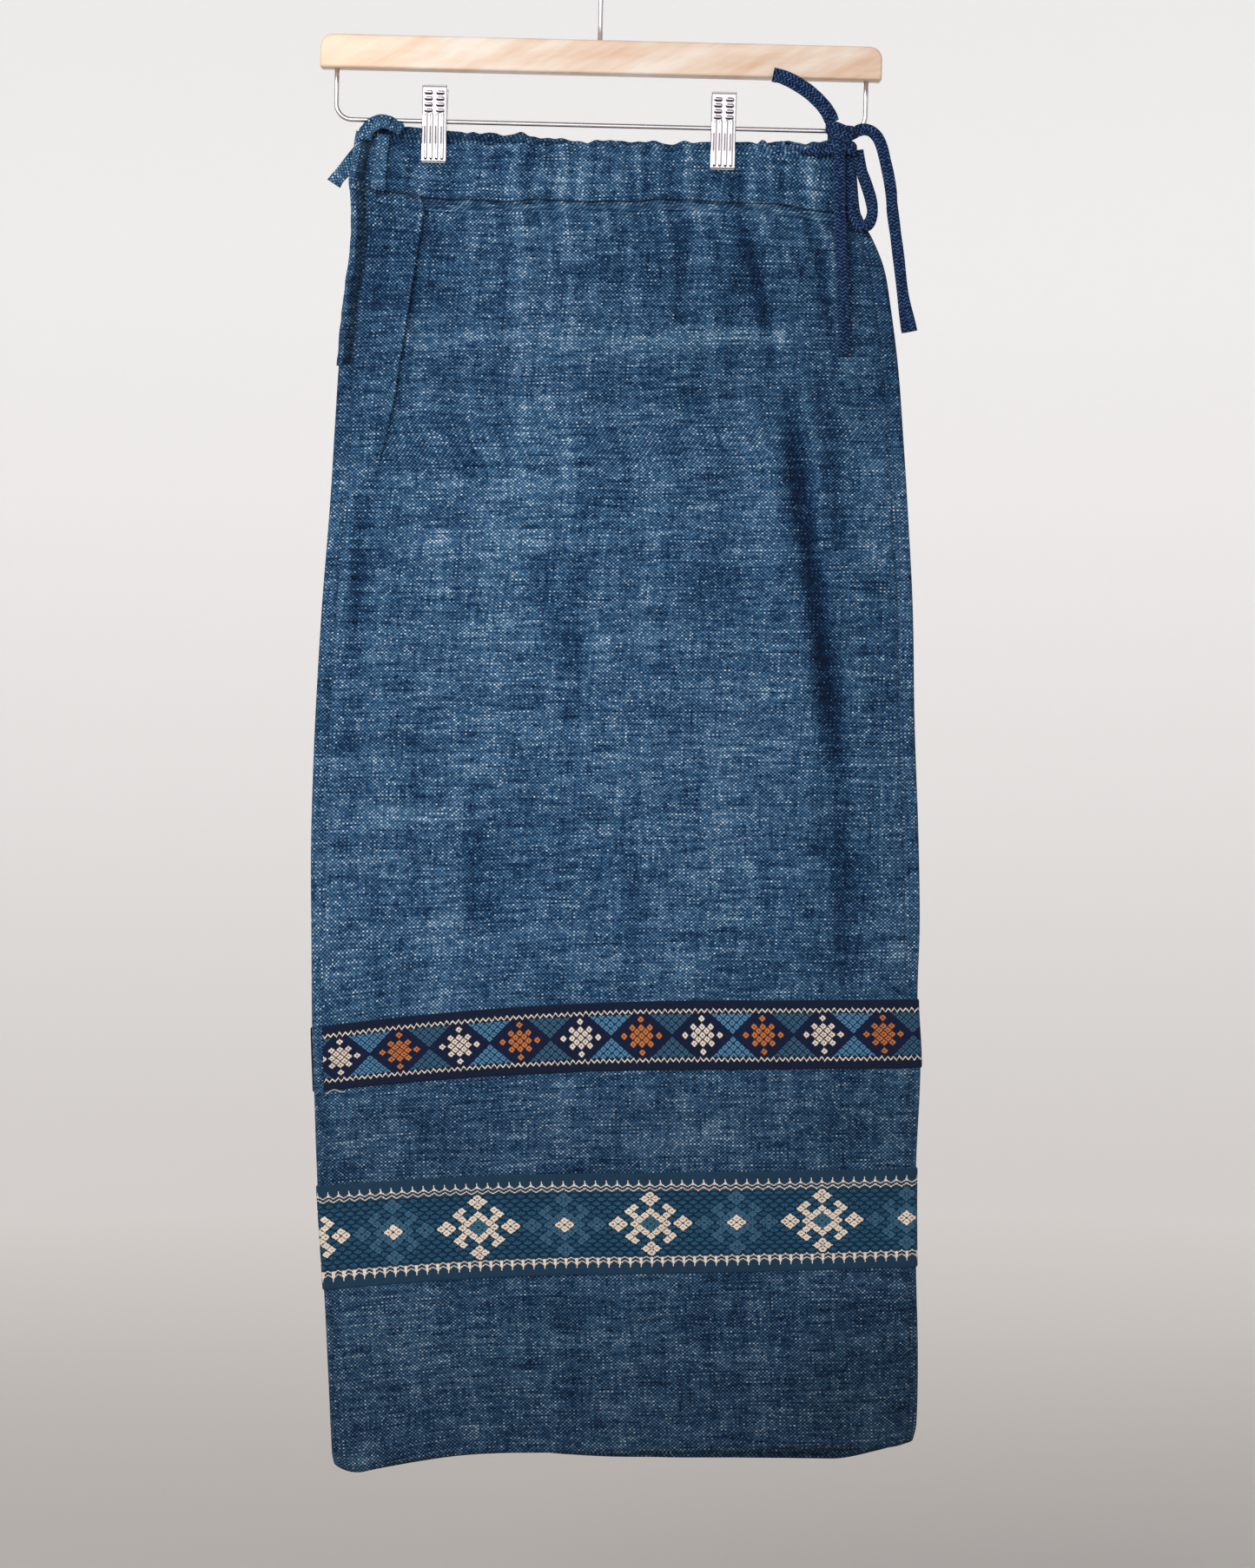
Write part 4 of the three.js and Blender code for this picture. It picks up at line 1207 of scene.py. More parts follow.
class StarChart:
    """Weaving chart of the upper band: stars of lozenges between hourglasses. Millimetres."""

    lozenge = (2.98, 2.83)
    cells = {"front": (0.497, 0.566), "back": (0.745, 0.7)}
    first = 12.2
    field_half = 15.0
    zigzag = 3.0

    def yarns(self, x: Points, y: Points) -> Points:
        """Choose the yarn of each cell.

        Args:
            x: Distance along the band from its first star, in millimetres.
            y: Distance from the band's middle line, upwards.

        Returns:
            The yarn's number in the list of yarns.
        """
        half_w, half_h = self.lozenge
        period = 14 * half_w
        which = np.floor(x / period + 0.5)
        cream = np.mod(which, 2) == 0
        gap_cream = np.mod(np.floor(x / period), 2) == 0
        ux, uy = (x - which * period) / half_w, y / half_h
        p, q = np.round((ux + uy) / 2), np.round((ux - uy) / 2)
        inside = np.abs(ux - p - q) + np.abs(uy - p + q)
        far, near = np.maximum(np.abs(p), np.abs(q)), np.minimum(np.abs(p), np.abs(q))
        star = (far <= 1) | ((far == 2) & (near != 1))
        glass = np.abs(uy) - np.abs(np.abs(ux) - 7) > 0.35
        yarn = np.full(x.shape, YARNS.index(Yarn.NAVY))

        def lay(where: Points, body: Yarn, eye: Yarn) -> None:
            yarn[where & (inside < 0.8)] = YARNS.index(body)
            yarn[where & (inside < 0.3)] = YARNS.index(eye)

        lay(star & cream, Yarn.CREAM, Yarn.CREAM_EYE)
        lay(star & ~cream, Yarn.RUST, Yarn.RUST_EYE)
        lay(glass & ~star & gap_cream, Yarn.BLUE, Yarn.BLUE_EYE)
        lay(glass & ~star & ~gap_cream, Yarn.SLATE, Yarn.SLATE_EYE)
        up = np.abs(y) - self.field_half
        wave = np.abs(np.mod(x / (period / 10), 1) - 0.5) * 2
        yarn[up > -0.4] = YARNS.index(Yarn.BORDER)
        yarn[(np.abs(up - 0.3 - wave * (self.zigzag - 0.4)) < 0.52) & (up > -0.4)] = YARNS.index(Yarn.CREAM)
        return yarn


class CrossChart:
    """Weaving chart of the lower band: hooked crosses on a leafy ground. Millimetres."""

    lozenge = (3.69, 2.8)
    cells = {"front": (0.615, 0.622), "back": (0.738, 0.7)}
    first = 113.0
    field_half = 21.8
    hook = ((-0.5, -2.5), (-0.5, -3.5), (0.5, -3.5))

    def cross(self, p: Points, q: Points) -> tuple[Points, Points]:
        """Tell which lozenges of the lattice the hooked cross fills.

        Args:
            p: Place of each lozenge on the rising diagonal, in half steps.
            q: Place on the falling diagonal.

        Returns:
            Where the cross is, and where its middle is.
        """
        far = np.maximum(np.abs(p), np.abs(q))
        filled = far == 1.5
        for u, v in self.hook:
            for a, b in ((u, v), (-v, -u), (v, u), (-u, -v)):
                filled |= (p == a) & (q == b)
        filled |= (np.abs(np.abs(p) - 3) == 0.5) & (np.abs(np.abs(q) - 3) == 0.5)
        return filled, far == 0.5

    def yarns(self, x: Points, y: Points) -> Points:
        """Choose the yarn of each cell, as on the upper band.

        Args:
            x: Distance along the band from its first cross, in millimetres.
            y: Distance from the band's middle line, upwards.

        Returns:
            The yarn's number in the list of yarns.
        """
        half_w, half_h = self.lozenge
        period = 32 * half_w
        which = np.floor(x / period * 2 + 0.5)
        main = np.mod(which, 2) == 0
        ux, uy = (x - which * period / 2) / half_w, y / half_h
        p, q = np.floor((ux + uy) / 2) + 0.5, np.floor((ux - uy) / 2) + 0.5
        dx, dy = ux - p - q, uy - p + q
        inside = np.abs(dx) + np.abs(dy)
        filled, middle = self.cross(p, q)
        yarn = np.full(x.shape, YARNS.index(Yarn.TEAL))

        def lay(where: Points, body: Yarn) -> None:
            yarn[where] = YARNS.index(body)

        leaf = np.minimum(np.abs(dy - 0.3 + 0.5 * np.abs(dx)), np.abs(dy + 0.12 + 0.5 * np.abs(dx))) < 0.13
        lay(leaf & (inside < 0.8), Yarn.TEAL_LEAF)
        ghost = filled & ~main
        lay(ghost & (inside < 0.86), Yarn.GHOST)
        lay(ghost & leaf & (inside < 0.7), Yarn.GHOST_EYE)
        lay(middle & main & (inside < 0.86), Yarn.LAKE)
        lay(middle & main & leaf & (inside < 0.7), Yarn.GHOST_EYE)
        cream = (filled & main) | (middle & ~main)
        lay(cream & (inside < 0.87), Yarn.CREAM)
        lay(cream & (np.abs(dx) < 0.2) & (np.abs(dy) < 0.14), Yarn.CREAM_EYE)
        lay(inside > 0.87, Yarn.TEAL_LINE)
        up = np.abs(y) - self.field_half
        turn = np.abs(np.mod(x / (2 * half_w), 1) - 0.5) * 2
        lay(up > -0.5, Yarn.TEAL_BORDER)
        for start in (0.2, 2.7):
            lay(np.abs(up - start - 2.2 * turn) < 0.34, Yarn.CREAM)
        beside = (1 - turn) * half_w
        lay((up > 3.6) & (up < 6.4) & (beside < (6.6 - up) * 0.5), Yarn.CREAM)
        lay((up > 4.6) & (up < 7.4) & (beside < 0.35), Yarn.CREAM)
        lay((y < 0) & (up > 0.8) & (up < 3.9) & (beside < 1.1), Yarn.CREAM)
        return yarn


@dataclass
class BrocadeBand:
    """A woven band sewn round the tube in a front and a back length. Sizes in millimetres."""

    name: str
    top: float
    bottom: float
    chart: StarChart | CrossChart
    finish: Finish
    wraps_left: bool
    above: float = 0.95
    foot: float = 0.05
    inner_step: int = 14

    def span(self, side: Side, z: Points) -> tuple[Points, Points]:
        """Return the places round the tube where a length starts and ends.

        Args:
            side: Front or back.
            z: Heights.

        Returns:
            The first and the last places.
        """
        gap = 0.012
        left, _ = TUBE.seam_places(z)
        if side is Side.BACK:
            return np.full_like(z, 1.5 + gap), np.full_like(z, 3.5 - gap)
        return (np.full_like(z, -0.5 + gap) if self.wraps_left else left), np.full_like(z, 1.5 - gap)

    def even_places(self, side: Side, z: Points) -> tuple[Points, Points]:
        """Spread cells of the chart's width evenly along a length.

        Args:
            side: Face of the tube.
            z: Heights of the rows, in a column.

        Returns:
            Places by row and column, and the distance along of each column.
        """
        start, end = self.span(side, z)
        fine = start + (end - start) * np.linspace(0, 1, 1200)
        along = row_lengths(TUBE.points(fine, z))
        total = float(along[:, -1].mean())
        count = int(round(total / self.chart.cells[side.value][0]))
        want = np.linspace(0, 1, count + 1)
        place = np.stack([np.interp(want * a[-1], a, f) for a, f in zip(along, fine)])
        return place, want * total

    def length(self, side: Side) -> bpy.types.Object:
        """Weave one length of the band.

        Args:
            side: Face of the tube.

        Returns:
            The length of band.
        """
        rows = int(round((self.top - self.bottom) / self.chart.cells[side.value][1]))
        rows += (-rows) % self.inner_step
        z = np.linspace(self.top, self.bottom, rows + 1)[:, None]
        place, along = self.even_places(side, z)
        edge = smooth(np.minimum(self.top - z, z - self.bottom), 0, 0.9)
        outer = TUBE.lifted(place, z, self.foot + 0.35 + (self.above - self.foot - 0.35) * edge)
        coarse = slice(None, None, self.inner_step)
        inner = TUBE.lifted(place[coarse], z[coarse], self.foot)
        columns = place.shape[1]
        count = (rows + 1) * columns
        faces = grid_faces(rows + 1, columns)
        painted = len(faces)
        backs = grid_faces(len(inner), columns, count, True)
        low = count + (len(inner) - 1) * columns
        for c in range(columns - 1):
            backs.append((c, c + 1, count + c + 1, count + c))
            backs.append((rows * columns + c + 1, rows * columns + c, low + c, low + c + 1))
        for i in range(len(inner) - 1):
            for c, turned in ((0, False), (columns - 1, True)):
                ring = [r * columns + c for r in range(i * self.inner_step, (i + 1) * self.inner_step + 1)]
                fan = [count + i * columns + c, *ring, count + (i + 1) * columns + c]
                backs.append(tuple(fan[::-1] if turned else fan))
        offset = self.chart.first if side is Side.FRONT else self.back_start()
        centre_x = (along[1:] + along[:-1]) / 2 - offset
        centre_y = (z[1:, 0] + z[:-1, 0]) / 2 - (self.top + self.bottom) / 2
        yarn = self.chart.yarns(*np.broadcast_arrays(centre_x[None, :], centre_y[:, None])).ravel()
        colours = np.array([linear(y.value[0]) for y in YARNS])[yarn]
        relief = np.array([y.value[1] for y in YARNS])[yarn]
        plain = np.tile(linear(YARNS[yarn[0]].value[0]), (len(backs), 1))
        uv = np.stack(np.broadcast_arrays(along[None, :], z), -1)
        shell = Shell(
            np.concatenate([outer.reshape(-1, 3), inner.reshape(-1, 3)]), faces + backs,
            np.concatenate([uv.reshape(-1, 2), uv[coarse].reshape(-1, 2)]),
            {"relief": np.concatenate([relief, np.zeros(len(faces) + len(backs) - painted)])},
            {"chart": np.concatenate([colours, plain])},
        )
        node_name = f"band_{self.name}_{side.value}"
        piece = add_piece(f"{self.name}_band_{side.value}", shell, self.finish, [node_name])
        return piece

    def back_start(self) -> float:
        """Return where the chart starts on the back, so that it runs on round the right edge.

        Returns:
            The distance along the chart, in millimetres.
        """
        z = np.array([[(self.top + self.bottom) / 2]])
        start, end = self.span(Side.FRONT, z)
        line = TUBE.points(start + (end - start) * np.linspace(0, 1, 1200), z)
        return self.chart.first - float(row_lengths(line)[0, -1])

    def build(self) -> None:
        """Weave the front and the back."""
        for side in Side:
            self.length(side)


# Swept strips and cords


def spline(points: Points, per_span: int) -> Points:
    """Draw a smooth curve through points, with extra columns carried along.

    Args:
        points: Rows of numbers, the first three a point.
        per_span: Steps between two of them.

    Returns:
        The rows of the finer curve.
    """
    points = np.asarray(points, float)
    padded = np.vstack([2 * points[0] - points[1], points, 2 * points[-1] - points[-2]])
    t = np.linspace(0, 1, per_span, endpoint=False)[:, None]
    spans = []
    for a, b, c, d in zip(padded, padded[1:], padded[2:], padded[3:]):
        spans.append(b + 0.5 * t * (c - a + t * (2 * a - 5 * b + 4 * c - d + t * (3 * (b - c) + d - a))))
    return np.vstack(spans + [points[-1:]])


def sweep(route: Points, width: Points, thick: Points, front: Points, sides: int = 16,
          blunt: float = 0.6, closed: bool = False) -> Shell:
    """Carry a rounded flat section along a route.

    Args:
        route: Centre points.
        width: Full width at each point.
        thick: Full thickness at each point.
        front: Direction that the flat side faces at each point.
        sides: Corners of the section.
        blunt: 1 gives an oval, less gives a squarer edge.
        closed: Join the end to the start.

    Returns:
        The shell, with its UV across and along.
    """
    if closed:
        tangent = np.roll(route, -1, 0) - np.roll(route, 1, 0)
    else:
        tangent = np.gradient(route, axis=0)
    tangent /= np.linalg.norm(tangent, axis=1, keepdims=True)
    across = np.cross(tangent, np.broadcast_to(front, route.shape))
    across /= np.linalg.norm(across, axis=1, keepdims=True)
    out = np.cross(across, tangent)
    angle = np.arange(sides) / sides * 2 * math.pi
    round_x = np.sign(np.cos(angle)) * np.abs(np.cos(angle)) ** blunt
    round_y = np.sign(np.sin(angle)) * np.abs(np.sin(angle)) ** blunt
    ring = (across[:, None] * (round_x[None, :, None] * width[:, None, None] / 2)
            + out[:, None] * (round_y[None, :, None] * thick[:, None, None] / 2))
    points = route[:, None] + ring
    along = np.concatenate([[0], np.cumsum(np.linalg.norm(np.diff(route, axis=0), axis=1))])
    uv = np.stack(np.broadcast_arrays(width[:, None] / 2 * (round_x + 1)[None, :], along[:, None]), -1)
    rows = len(route)
    faces = []
    for r in range(rows if closed else rows - 1):
        n = (r + 1) % rows
        for s in range(sides):
            e = (s + 1) % sides
            faces.append((r * sides + s, r * sides + e, n * sides + e, n * sides + s))
    flat = points.reshape(-1, 3)
    uv = uv.reshape(-1, 2)
    if not closed:
        flat = np.vstack([flat, route[0], route[-1]])
        uv = np.vstack([uv, uv[0], uv[-1]])
        for s in range(sides):
            e = (s + 1) % sides
            faces.append((rows * sides, e, s))
            faces.append((rows * sides + 1, (rows - 1) * sides + s, (rows - 1) * sides + e))
    return Shell(flat, faces, uv)


def outward(shell: Shell) -> Shell:
    """Turn a closed shell's faces outwards, if its volume shows them inside out.

    Args:
        shell: The closed shell, which is changed.

    Returns:
        The same shell.
    """
    points = np.asarray(shell.points, float)
    volume = 0.0
    for face in shell.faces:
        a = points[face[0]]
        for b, c in zip(face[1:], face[2:]):
            volume += np.dot(a, np.cross(points[b], points[c]))
    if volume < 0:
        shell.faces = [face[::-1] for face in shell.faces]
    return shell


def joined(shells: Sequence[Shell]) -> Shell:
    """Put shells together into one.

    Args:
        shells: Shells, all with a UV or all without.

    Returns:
        The shell.
    """
    faces, count = [], 0
    for shell in shells:
        faces += [tuple(i + count for i in face) for face in shell.faces]
        count += len(shell.points)
    uv = None if shells[0].uv is None else np.vstack([s.uv for s in shells])
    return Shell(np.vstack([s.points for s in shells]), faces, uv)


@dataclass
class Bindings:
    """The placket's binding, its arch over the waist, the carrier and the free tie."""

    thick: float = 1.5
    strip_above: float = 1.5
    arch: tuple = (
        (-164.4, -6.1, -158, 9.6), (-163, -6.4, -152.6, 9.8), (-159, -6.8, -147.8, 10),
        (-153, -6.6, -145.4, 10), (-147.4, -5.2, -146.2, 9.6), (-142.6, -3, -148.6, 9),
        (-139.4, -0.9, -150.8, 8.6),
    )
    carrier: tuple = (
        (-151.3, -6.6, -154.4, 8.6), (-152.4, -7.2, -164.6, 9.4), (-153.6, -7.2, -176, 9.8),
        (-154.6, -6.2, -186.4, 10), (-155, -5.1, -192.6, 10),
    )
    tie: tuple = (
        (-162.3, 5, -156.2, 9.4), (-170.7, 5.4, -166.2, 10.4), (-179.7, 4.4, -177.4, 9.6),
        (-186.6, 4, -186.4, 10.6),
    )

    def strip(self) -> bpy.types.Object:
        """Make the binding down the left side, folded double with a soft outer edge.

        Returns:
            The binding.
        """
        z = np.linspace(TUBE.front_waist, TUBE.placket_end, 110)[:, None]
        left, _ = TUBE.seam_places(z)
        place = -0.5 + (left - 0.004 + 0.5) * np.linspace(0, 1, 22)
        edge = smooth(np.linspace(0, 1, 22), 1, 0.86)
        lump = 0.25 * soft_noise(place * 8, z, 14, 51)
        outer = TUBE.lifted(place, z, 0.35 + (self.strip_above - 0.35 + lump) * edge)
        inner = TUBE.lifted(place, z, 0.05)
        uv = np.stack([row_lengths(outer) + 3, np.broadcast_to(z * 1.02, place.shape)], -1)
        shell = closed_shell(outer, inner, uv)
        nominal = np.broadcast_to(z, place.shape)
        tones = cloth_tone(outer, nominal)
        # The stitched inner edge is drawn in and lies in its own shadow.
        tones["painted_shading"] = tones["painted_shading"] * (1 - 0.6 * smooth(place, place[:, -4:-3], place[:, -1:])).ravel()
        shell.values = {k: np.concatenate([v, v]) for k, v in tones.items()}
        piece = add_piece("placket_binding", shell, COTTON, ["placket_strip"])
        return piece

    def ribbon(self, name: str, node_name: str, table: tuple, turn: float) -> bpy.types.Object:
        """Make a narrow folded strip with slightly raised edges.

        Args:
            name: Piece name.
            node_name: Node that it stands for.
            table: Points with a width each.
            turn: Direction of the cloth's threads on it, in millimetres of shift.

        Returns:
            The strip.
        """
        rows = spline(np.array(table), 9)
        count = len(rows)
        wobble = 0.35 * soft_noise(np.arange(count) * 1.0, np.zeros(count), 9, len(name))
        route = rows[:, :3] + np.stack([wobble * 0.6, wobble * 0.5, wobble * 0], 1)
        thick = np.full(count, self.thick) + 0.2 * wobble
        shell = outward(sweep(route, rows[:, 3] + wobble, thick, np.array([0.0, -1.0, 0.0]), 20, 0.45))
        shell.uv = shell.uv + np.array([turn, 0])
        # Painted shade: the strip is darkened along its two sides, and its end caps a little.
        edge = smooth(np.abs(np.cos(np.arange(20) / 20 * 2 * math.pi)), 0.75, 1)
        painted_shading = np.concatenate([np.tile(1.0 - 0.6 * edge, count), [0.7, 0.7]])
        shell.values = {"dye_and_painted_light": np.full(len(painted_shading), 0.05), "painted_shading": painted_shading}
        piece = add_piece(name, shell, COTTON, [node_name])
        return piece

    def build(self) -> None:
        """Make all four."""
        self.strip()
        self.ribbon("placket_loop", "placket_arch", self.arch, 2)
        self.ribbon("hanging_carrier", "carrier_strip", self.carrier, 5)
        self.ribbon("free_tie", "tie_end", self.tie, 7)


@dataclass
class Drawstring:
    """The flat braid: its root, knot, loop and three free ends. Routes are in metres."""

    width: float = 0.0082
    thick: float = 0.0034
    turn_thick: float = 0.0037
    knot: tuple = (0.1635, -0.0097, -0.158)
    root: tuple = (
        (0.1359, -0.0067, -0.167, 0.0024), (0.141, -0.0068, -0.1666, 0.005),
        (0.1464, -0.0069, -0.1656, 0.008), (0.1524, -0.007, -0.1644, 0.0095),
        (0.1575, -0.0075, -0.162, 0.009),
    )
    end_up: tuple = (
        (0.1578, -0.0095, -0.1466), (0.1548, -0.0095, -0.14), (0.1497, -0.009, -0.1331),
        (0.1413, -0.0088, -0.1253), (0.1317, -0.0086, -0.119), (0.1233, -0.0085, -0.1151),
        (0.117, -0.0084, -0.1136),
    )
    end_down: tuple = (
        (0.1624, -0.0115, -0.171), (0.1628, -0.0115, -0.1802), (0.1626, -0.0105, -0.2012),
        (0.1635, -0.0097, -0.2222), (0.1647, -0.0096, -0.2534), (0.1653, -0.0098, -0.2792),
        (0.1659, -0.0102, -0.3062),
    )
    end_side: tuple = (
        (0.1743, -0.009, -0.1528), (0.1791, -0.009, -0.1514), (0.1845, -0.0085, -0.1526),
        (0.189, -0.0079, -0.1568), (0.192, -0.0074, -0.1634), (0.1944, -0.007, -0.173),
        (0.1965, -0.007, -0.1826), (0.1983, -0.007, -0.194), (0.1992, -0.007, -0.206),
        (0.2013, -0.007, -0.2222), (0.2037, -0.0074, -0.2414), (0.2067, -0.0078, -0.2672),
        (0.2109, -0.008, -0.2906),
    )
    loop: tuple = (
        (0.1686, -0.0074, -0.1698), (0.1695, -0.0074, -0.1832), (0.1716, -0.0076, -0.2012),
        (0.1737, -0.0078, -0.2114), (0.1782, -0.008, -0.218), (0.183, -0.008, -0.2159),
        (0.1854, -0.008, -0.2084), (0.1842, -0.0076, -0.1988), (0.1809, -0.0072, -0.188),
        (0.1776, -0.007, -0.1784), (0.1755, -0.0072, -0.1655),
    )

    def lead(self, name: str, node_name: str, table: tuple, flare: float = 1.0,
             broad: float = 1.0) -> bpy.types.Object:
        """Make one free length of the cord.

        Args:
            name: Piece name.
            node_name: Node that it stands for.
            table: The route's points.
            flare: Width of its last few millimetres, as a share of the cord's.
            broad: Width of the length where the braid is pressed flat, as a share of the cord's.

        Returns:
            The length of cord.
        """
        route = spline(np.array(table), 8) / MM
        count = len(route)
        share = np.linspace(0, 1, count)
        seed = len(table) * 7 + len(name)
        uneven = soft_noise(share * 100, share * 0, 13, seed)
        width = self.width / MM * broad * (1 + 0.05 * uneven + (flare - 1) * smooth(share, 0.9, 1))
        thick = self.thick / MM * (1 - 0.06 * uneven)
        front = np.stack([0.18 * uneven, -np.ones(count), 0.05 * uneven], 1)
        shell = outward(sweep(route, width, thick, front, 18, 0.75))
        piece = add_piece(name, shell, BRAID, [node_name])
        return piece

    def tied(self) -> None:
        """Make the knot of real turns of the cord, and the root that comes out of the casing."""
        x, y, z = (v / MM for v in self.knot)
        flat = self.width / MM
        turns = []
        angle = np.linspace(0, 2 * math.pi, 40, endpoint=False)

        def turn(half: tuple, lift: float, lean: float, push: float, shift: float = 0.0) -> None:
            """Lay one turn of the cord round the knot.

            Args:
                half: Half its width and half its depth.
                lift: Height above the middle of the knot.
                lean: How much it rises to the right.
                push: Distance towards the front.
                shift: Distance to the right.
            """
            across, deep = half[0] * np.cos(angle), half[1] * np.sin(angle)
            route = np.stack([
                x + shift + across, y - push + deep, z + lift + across * lean + 0.9 * np.sin(2 * angle),
            ], 1)
            front = np.stack([np.cos(angle), np.sin(angle) * 1.4, 0 * angle], 1)
            thick = np.full_like(angle, self.turn_thick / MM)
            turns.append(outward(sweep(route, np.full_like(angle, flat * 0.98), thick, front, 16, 0.75, True)))

        turn((8.8, 3.0), 5.6, -0.2, 1.1)
        turn((8.4, 2.8), -3.6, -0.5, 0.5, 1.0)
        standing = np.array([
            (x - 5.5, y + 1.2, z + 10.4), (x - 3.8, y - 1.0, z + 5), (x - 1.2, y - 4.2, z - 1),
            (x - 0.6, y - 3.8, z - 7), (x - 0.8, y - 1.6, z - 12.4),
        ])
        crossing = np.array([
            (x + 9.6, y + 0.8, z + 4.2), (x + 5.4, y - 1.4, z + 1.6), (x + 0.5, y - 2.2, z - 2.4),
            (x - 4.2, y - 0.8, z - 6.6), (x - 6.6, y + 1, z - 9.2),
        ])
        for rough in (standing, crossing):
            route = spline(rough, 8)
            count = len(route)
            front = np.tile([0.0, -1.0, 0.15], (count, 1))
            thick = np.full(count, self.thick / MM)
            turns.append(outward(sweep(route, np.full(count, flat), thick, front, 16, 0.75)))
        add_piece("drawstring_knot_turns", joined(turns), BRAID, ["drawstring_knot"])
        rows = spline(np.array(self.root) / MM, 8)
        front = np.tile([0.0, -1.0, 0.0], (len(rows), 1))
        shell = outward(sweep(rows[:, :3], rows[:, 3], np.full(len(rows), 3.0), front, 16, 0.75))
        add_piece("drawstring_root_end", shell, BRAID, ["drawstring_root"])

    def build(self) -> None:
        """Make every length of the cord and its knot."""
        self.tied()
        self.lead("cord_end_up", "drawstring_end_up", self.end_up, 1.0, 1.24)
        self.lead("cord_end_down", "drawstring_end_down", self.end_down, 0.92)
        self.lead("cord_end_side", "drawstring_end_side", self.end_side, 1.35)
        self.lead("cord_loop", "drawstring_loop", self.loop)


# Hanger


